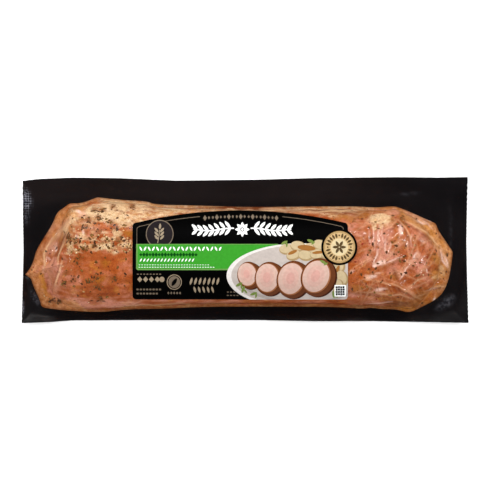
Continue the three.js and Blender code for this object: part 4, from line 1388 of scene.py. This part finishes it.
# Rounds of the platter, as ink, shift of the centre, how much shorter and narrower, and sides.
PLATTER = [
    ("plate_rim", 0, 0, 0, 0, 160), ("plate", 1, 0, 2.4, 1.2, 150), ("plate_shade", 1.5, -0.8, 7, 4, 140),
    ("plate", 2, 0.4, 8.4, 4.6, 140),
]
POTATOES = [
    (30, 0.5, 5), (38, 2.6, -8), (46.5, 1.2, 12), (54, 3.4, -14), (35, -3.6, 20), (43.5, -4, -6),
    (52, -3.2, 8), (61, -8, 70), (68, -11, 96), (64, -17, 60), (70, -20, 110), (67, -26.5, 80),
    (60, -2.5, 30),
]
POOLS = [
    (44, 1.6, 6.5, 2.0, -6), (53, -1.6, 5, 1.1, 6), (34, -1.6, 3.6, 1.2, 24), (66.4, -13.6, 2.8, 1.2, 64),
]
SLICES = [(1.5, -17.4, 8.4, 98), (16, -19.8, 10.4, 86), (33, -20.4, 11.6, 76), (51, -18.8, 12, 66)]
SPRIGS = [
    (-4.5, -24.5, 30), (-1.5, -28, 70), (6, -31, 20), (56, -8.6, 150), (63.5, -31.5, 100), (28, 5.2, 30),
    (47, 6.4, 160),
]

# Layers of a slice, as ink, shift of the centre, length and width as shares of its size, and sides.
SLICE_LAYERS = [
    ("roast_dark", 2.6, -1.2, 1.16, 1.02, 48), ("roast_brown", 1.3, -0.6, 1.16, 1.02, 48),
    ("roast_light", 0.1, -0.1, 1.0, 0.84, 48), ("pink", -0.2, 0.1, 0.95, 0.78, 48),
    ("pink_middle", -0.4, 0.2, 0.66, 0.5, 36), ("pink_heart", -0.5, 0.3, 0.36, 0.26, 30),
]

# Rings of the round seal, from the outermost in, as ink, radius and sides.
SEAL_RINGS = [
    ("black", SEAL_RADIUS, 80), ("seal_gold", 11.5, 72), ("cream", 11.1, 72), ("seal_gold", 10.7, 72),
    ("cream", 10.4, 72), ("pale_cream", 6.2, 48),
]


def arch_point(x, below):
    """A point of the label's arch at some distance inside its edge."""
    (across, up), radius, _ = arch_circle()
    return [x, up + math.sqrt((radius - below) ** 2 - (x - across) ** 2)]


def border_print():
    """A gold hairline inside the label's edge, and a row of small lozenges where it pauses."""
    west, east = LABEL_LEFT + HAIRLINE_INSET, LABEL_RIGHT - HAIRLINE_INSET
    over_left = [arch_point(x, HAIRLINE_INSET) for x in np.linspace(west + 1.6, -32.6, 20)]
    over_right = [arch_point(x, HAIRLINE_INSET) for x in np.linspace(26.5, east - 1.6, 20)]
    drop_left, drop_right = over_left[0][1], over_right[-1][1]
    left = [[west, BAND["top"]], [west, drop_left - 2.2], [west + 0.3, drop_left - 0.9], *over_left]
    right = [*over_right, [east - 0.4, drop_right - 0.9], [east, drop_right - 2.2], [east, 13.9]]
    shapes = [("gold_line", stroke(left, HAIRLINE_WIDTH)), ("gold_line", stroke(right, HAIRLINE_WIDTH))]
    for index, x in enumerate(np.linspace(-29, 22.5, 19)):
        half = 1.35 if index % 3 == 0 else 0.8
        shapes.append(("gold_line", lozenge(arch_point(x, HAIRLINE_INSET + 1.3), half, 1.5 * half)))
    return shapes


def garland_print():
    """A white herb garland: a rosette with leafy stems to both sides."""
    x, y = NAME_PLACE["centre"]
    shapes = [("white", leaf((x, y), 10.5, 3.4, turn)) for turn in (0, 45, 90, 135)]
    shapes.append(("black", disc((x, y), 1.5, 20)))
    shapes.append(("white", disc((x, y), 0.9, 16)))
    for side in (-1, 1):
        reach = np.linspace(6, NAME_PLACE["half"], 24)
        stem = np.column_stack([x + side * reach, y + 0.9 * np.sin(reach / 5.2)])
        shapes.append(("white", stroke(stem, 0.9)))
        for index, along in enumerate(np.linspace(8.4, NAME_PLACE["half"] - 3, NAME_PLACE["leaves"])):
            size = 6.4 - 0.16 * index
            foot = (x + side * along, y + 0.9 * math.sin(along / 5.2))
            for lean in (-1, 1):
                angle = lean * (50 - 1.5 * index)
                tip = np.array([side * math.cos(math.radians(angle)), math.sin(math.radians(angle))])
                centre = np.array(foot) + tip * size * 0.5
                shapes.append(("white", leaf(centre, size, 2.1, math.degrees(math.atan2(tip[1], tip[0])))))
    return shapes


def badge_print():
    """A dark round badge with a gold ring and an ear of grain, cut off by the green band."""
    x, y = BADGE["centre"]
    shapes = [
        ("gold_line", disc((x, y), BADGE["radius"], 64)),
        ("badge_grey", disc((x, y), BADGE["radius"] - 0.6, 64)),
        ("tan", stroke([[x - 1.5, y - 6.5], [x - 0.6, y - 2], [x, y + 3]], 0.5)),
        ("tan", leaf((x + 0.2, y + 5.4), 4.2, 1.7, 86)),
    ]
    for height, side in itertools.product((-2.4, 0.2, 2.8), (-1, 1)):
        shapes.append(("tan", leaf((x + side * 2.0 - 0.3, y + height), 4.2, 1.6, 90 - side * 42)))
    return shapes


def band_print():
    """The green band, with rows of leaves, dashes and dots in white and dark green."""
    left, right, top, bottom = (BAND[key] for key in ("left", "right", "top", "bottom"))
    shapes = [
        ("olive_green", bar(left, bottom, right, top, 1.4)),
        ("olive_green", bar(left, top - 4, left + 4, top, 0.05)),
        ("green", bar(left + 1.1, bottom + 1.0, right, top - 0.5, 1.0)),
    ]
    first = left + 3.4
    for i in range(20):
        shapes.append(("white", leaf((first + 3.0 * i, 0.95), 3.5, 1.15, 62 if i % 2 else 118)))
    for i in range(19):
        shapes.append(("dark_green", lozenge((first + 2.2 * i, -3.3), 1.2, 1.7 if i % 3 else 1.2)))
    shapes += row_of(16, "white", leaf, (first, -7.2), 2.5, 2.9, 0.85, 58)
    shapes += row_of(27, "white", oval, (first - 1, -10.6), 1.9, 0.6, 0.19, 0, 10)
    shapes += row_of(29, "white", oval, (first - 1, -12.3), 1.9, 0.66, 0.25, 0, 10)
    return shapes


def emblem_print():
    """Small tan ornaments at the lower left: lozenges, dashes and a ringed leaf."""
    centre, radius = EMBLEM["centre"], EMBLEM["radius"]
    shapes = row_of(4, "tan", lozenge, (-75.8, -20.9), 4.2, 1.8, 2.1)
    shapes.append(("tan", disc((-59.9, -20.9), 1.9, 20)))
    shapes += row_of(8, "gold_line", oval, (-77.2, -17.2), 2.3, 0.75, 0.42, 0, 12)
    for y, count in ((-28.0, 8), (-30.9, 7)):
        for i in range(count):
            shapes.append(("gold_line", bar(-78.2 + 2.3 * i, y - 0.6, -76.6 + 2.3 * i, y + 0.6)))
    shapes += [
        ("tan", disc(centre, radius, 48)),
        ("black", disc(centre, radius - 0.55, 48)),
        ("gold_line", disc(centre, radius - 1.2, 40)),
        ("black", leaf(centre, 6.6, 2.7, 55)),
    ]
    shapes += row_of(5, "gold_line", lozenge, (-55.3, -30.5), 2.1, 0.8, 1.1)
    shapes += row_of(7, "tan", leaf, (-38.9, -22.2), 3.2, 5.4, 1.7, 74)
    shapes += row_of(5, "tan", leaf, (-36.3, -28.1), 3.2, 4.8, 1.6, 106)
    for i, y in itertools.product(range(4), (-29.8, -32.2)):
        shapes.append(("gold_line", oval((-12.5 + 2.3 * i, y), 0.8, 0.4, 0, 12)))
    return shapes


def serving_print():
    """A pale platter with a fan of small round slices, potatoes and leaves."""
    (x, y), half_length, half_width = PLATE["centre"], PLATE["half_length"], PLATE["half_width"]
    shapes = [
        (ink, oval((x + right, y + up), half_length - shorter, half_width - narrower, 0, sides))
        for ink, right, up, shorter, narrower, sides in PLATTER
    ]
    for x, y, turn in POTATOES:
        shapes.append(("potato_shade", oval((x, y), 5.6, 3.9, turn, 30)))
        shapes.append(("potato", oval((x - 0.5, y + 0.6), 4.8, 3.1, turn, 30)))
    shapes += [("gravy", oval((x, y), length, width, turn, 30)) for x, y, length, width, turn in POOLS]
    for x, y, size, turn in SLICES:
        shapes += [
            (ink, oval((x + right, y + up), size * length, size * width, turn, sides))
            for ink, right, up, length, width, sides in SLICE_LAYERS
        ]
    shapes += [("leaf_green", leaf((x, y), 5.6, 2.0, turn)) for x, y, turn in SPRIGS]
    shapes += [("leaf_green", leaf((x + 1.8, y - 1.4), 3.6, 1.4, turn + 60)) for x, y, turn in SPRIGS]
    return shapes


def block_print():
    """A white square with a plain woven pattern."""
    left, bottom, side, margin = (BLOCK[key] for key in ("left", "bottom", "side", "margin"))
    shapes = [("white", bar(left, bottom, left + side, bottom + side, 0.5))]
    cell = (side - 2 * margin) / BLOCK["cells"]
    for row, column in itertools.product(range(BLOCK["cells"]), repeat=2):
        x, y = left + margin + (column + 0.5) * cell, bottom + margin + (row + 0.5) * cell
        wide, high = (0.5 * cell, 0.38 * cell) if (row + column) % 2 else (0.38 * cell, 0.5 * cell)
        shapes.append(("block_dark", bar(x - wide, y - high, x + wide, y + high, 0.1)))
    return shapes


def seal_print():
    """The round seal: cream, with a gold ring, a ring of small leaves and dots, and a rosette."""
    shapes = [(ink, disc(SEAL_CENTRE, radius, sides)) for ink, radius, sides in SEAL_RINGS]
    for index in range(24):
        angle = math.tau * index / 24
        place = around(SEAL_CENTRE, 8.3, angle)
        form = leaf(place, 3.6, 1.6, math.degrees(angle)) if index % 6 else disc(place, 0.6, 14)
        shapes.append(("ink_brown", form))
    for turn in range(0, 360, 60):
        petal = leaf(around(SEAL_CENTRE, 2.6, math.radians(turn)), 4.6, 2.0, turn)
        shapes.append(("ink_brown", petal))
    return shapes


def label_prints():
    return [
        *border_print(),
        *garland_print(),
        *badge_print(),
        *band_print(),
        *emblem_print(),
        *serving_print(),
        *block_print(),
        *seal_print(),
    ]


def ink_material(name):
    """Printed card with a faint mottle."""
    material, tree = fresh_material("print_" + name)
    darker, lighter = (rgb(*(min(value * share, 255) for value in INKS[name])) for share in (0.97, 1.02))
    colour = ramp(tree, node_noise(tree, 500, 2), [(0.35, darker), (0.65, lighter)])
    finish_solid(tree, colour, between(tree, node_noise(tree, 900, 2), 0.5, 0.62), 0.04, {})
    return material


def label_rows():
    """Heights of the rows of points that let the label bend: closest on its steep front and back."""
    rows, y = [], LABEL_BOTTOM
    top = LABEL_SHOULDER + LABEL_ARCH
    while y < top:
        from_front, from_back = (y - LABEL_BOTTOM) / LABEL_SLOPE, (top - y) / LABEL_SLOPE
        y += lerp(LABEL_STEP_ON_SLOPES, LABEL_STEP, min(1, from_front) * min(1, max(0, from_back)))
        rows.append(y)
    return rows


def printed_inks(middles, prints):
    """The number of each triangle's ink: that of the last shape that its middle lies in."""
    names = list(INKS)
    inks = np.zeros(len(middles), int)
    for ink, shape in prints:
        low, high = shape.min(0), shape.max(0)
        near = np.flatnonzero((middles >= low).all(1) & (middles <= high).all(1))
        inks[near[inside(middles[near], shape)]] = names.index(ink)
    return inks


def cut_label():
    """The label laid flat: its points, its triangles, cut along every edge of its print, and their inks."""
    outline, prints = label_outline(), label_prints()
    loops = [outline, *(shape for _, shape in prints)]
    columns = np.arange(LABEL_LEFT + 0.7, SEAL_CENTRE[0] + SEAL_RADIUS, LABEL_STEP)
    grid = np.array([(x, y) for y in label_rows() for x in columns])
    grid = grid[inside(grid, outline)]
    points = [Vector(point) for point in np.vstack([*loops, grid]).tolist()]
    edges, first = [], 0
    for loop in loops:
        edges += [(first + i, first + (i + 1) % len(loop)) for i in range(len(loop))]
        first += len(loop)
    flat, _, triangles, *_ = delaunay_2d_cdt(points, edges, [], 0, WELD_DISTANCE, False)
    flat = np.array([tuple(point) for point in flat])
    triangles = np.array([tuple(triangle) for triangle in triangles])
    triangles = triangles[inside(flat[triangles].mean(1), outline)]
    inks = printed_inks(flat[triangles].mean(1), prints)
    used, compact = np.unique(triangles, return_inverse=True)
    flat, triangles = flat[used], compact.reshape(-1, 3)
    a, b, c = (flat[triangles[:, corner]] for corner in range(3))
    clockwise = np.cross(b - a, c - a) < 0
    triangles[clockwise] = triangles[clockwise][:, ::-1]
    return flat, triangles, inks


def border_of(triangles):
    """The directed edges that only one triangle has."""
    sides = {}
    for triangle in triangles:
        for here, following in zip(triangle, np.roll(triangle, -1)):
            if sides.pop((following, here), None) is None:
                sides[(here, following)] = True
    return sides


def make_label(surface):
    """The printed label, draped over the film."""
    flat, triangles, inks = cut_label()
    places, normals = drop(surface, *flat.T)
    top = places + normals * (LABEL_OVER_FILM + LABEL_THICKNESS)
    bottom = places + normals * LABEL_OVER_FILM
    count = len(flat)
    walls = [[here + count, following + count, following, here] for here, following in border_of(triangles)]
    faces = [*triangles.tolist(), *(triangles[:, ::-1] + count).tolist(), *walls]
    first, *others = [ink_material(name) for name in INKS]
    piece = make_piece("printed_label", np.vstack([top, bottom]), faces, first, sharp_angle=50)
    for material in others:
        piece.data.materials.append(material)
    slots = [*inks.tolist(), *([0] * (len(triangles) + len(walls)))]
    piece.data.polygons.foreach_set("material_index", slots)
    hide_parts("label")
    return piece


# Stage

FLOOR_HALF = 6000
FLOOR_LEVEL = -0.05
LAMP_DISTANCE = 1.7

# Broad lamps give the light, and the film mirrors the small weaker ones as glints. Each has its bearing, 0 at
# +X and 90 at +Y, its angle from the zenith, its watts, and its length and width in metres.
LAMPS = {
    "back_lamp": (95, 56, 16.6, (0.9, 0.5)),
    "front_lamp": (268, 56, 12.2, (0.9, 0.5)),
    "left_lamp": (176, 56, 10.6, (0.8, 0.5)),
    "right_lamp": (20, 56, 12.5, (0.8, 0.5)),
    "back_glint": (95, 46, 4.0, (0.5, 0.12)),
    "right_glint": (55, 36, 4.2, (0.45, 0.2)),
    "left_glint": (150, 44, 3.0, (0.3, 0.15)),
    "front_glint": (330, 48, 2.2, (0.25, 0.15)),
}

CAMERA_LENS = 1000
CAMERA_SENSOR = 36
CAMERA_HEIGHT = 10.021
CAMERA_REACH = 100
VIEW_CENTRE = (0.003426, 0.00007)


def make_floor():
    """A plain pale table that the pack lies on."""
    material, tree = fresh_material("pale_table")
    shade = tinted(tree, node_noise(tree, 8, 2), (0.3, 236, 236, 236), (0.7, 240, 240, 240))
    glow = {"Emission Color": (1, 1, 1, 1), "Emission Strength": 0.45}
    finish_solid(tree, shade, 0.9, 0.0, glow)
    signs = ((-1, -1), (1, -1), (1, 1), (-1, 1))
    corners = [[across * FLOOR_HALF, up * FLOOR_HALF, FLOOR_LEVEL] for across, up in signs]
    floor = make_piece("floor", corners, [[0, 1, 2, 3]], material)
    floor.visible_glossy = False


def make_world():
    """A dim sky overhead, so that the black film stays dark, and a brighter one low down."""
    world = bpy.data.worlds.new("studio")
    world.use_nodes = True
    bpy.context.scene.world = world
    tree = world.node_tree
    tree.nodes.clear()
    way = node(tree, "ShaderNodeTexCoord").outputs["Generated"]
    upward = node(tree, "ShaderNodeSeparateXYZ", {"Vector": way}).outputs["Z"]
    tones = [
        (0.0, (0.04, 0.04, 0.04, 1)), (0.15, (0.16, 0.16, 0.16, 1)),
        (0.6, (0.2, 0.2, 0.2, 1)), (0.9, (0.08, 0.08, 0.083, 1)),
    ]
    sky = ramp(tree, upward, tones)
    background = node(tree, "ShaderNodeBackground", {"Color": sky, "Strength": 1.0})
    tree.links.new(background.outputs[0], node(tree, "ShaderNodeOutputWorld").inputs["Surface"])


def make_lamps():
    """Soft lamps aimed at the pack."""
    for name, (bearing, from_zenith, watts, size) in LAMPS.items():
        lamp = bpy.data.lights.new(name, "AREA")
        lamp.shape = "RECTANGLE"
        lamp.size, lamp.size_y = size
        lamp.energy = watts
        holder = bpy.data.objects.new(name, lamp)
        bpy.context.scene.collection.objects.link(holder)
        out, up = math.radians(bearing), math.radians(from_zenith)
        way = Vector((math.sin(up) * math.cos(out), math.sin(up) * math.sin(out), math.cos(up)))
        holder.location = LAMP_DISTANCE * way
        holder.rotation_euler = way.to_track_quat("Z", "Y").to_euler()
        holder.visible_glossy = name.endswith("glint")


def make_camera():
    """A long lens straight above, with the top of the view towards +Y."""
    camera = bpy.data.cameras.new("camera")
    camera.lens = CAMERA_LENS
    camera.sensor_width = CAMERA_SENSOR
    camera.clip_end = CAMERA_REACH
    holder = bpy.data.objects.new("camera", camera)
    holder.location = (*VIEW_CENTRE, CAMERA_HEIGHT)
    bpy.context.scene.collection.objects.link(holder)
    bpy.context.scene.camera = holder


def main():
    bpy.context.scene.view_settings.view_transform = "Standard"
    make_camera()
    make_world()
    make_lamps()
    make_floor()
    edge = spaced(outline_curve(CURVE_PASSES), EDGE_STEP)
    cut = cut_edge(edge)
    loin, insets = loin_rings(edge)
    flakes = large_flakes()
    pieces = [make_backing(edge, cut)]
    film, film_surface = make_film(edge, cut, loin, insets, flakes)
    meat, meat_surface = make_meat(loin, insets)
    pieces += [film, meat, make_label(film_surface)]
    shown = lerp(edge, nearest_on_spine(edge), SEASONING_FROM_EDGE)
    for name, kind in SEASONINGS.items():
        pieces.append(make_seasoning(name, kind, meat_surface, shown, flakes))
    for piece in pieces:
        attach(piece, "root")


main()
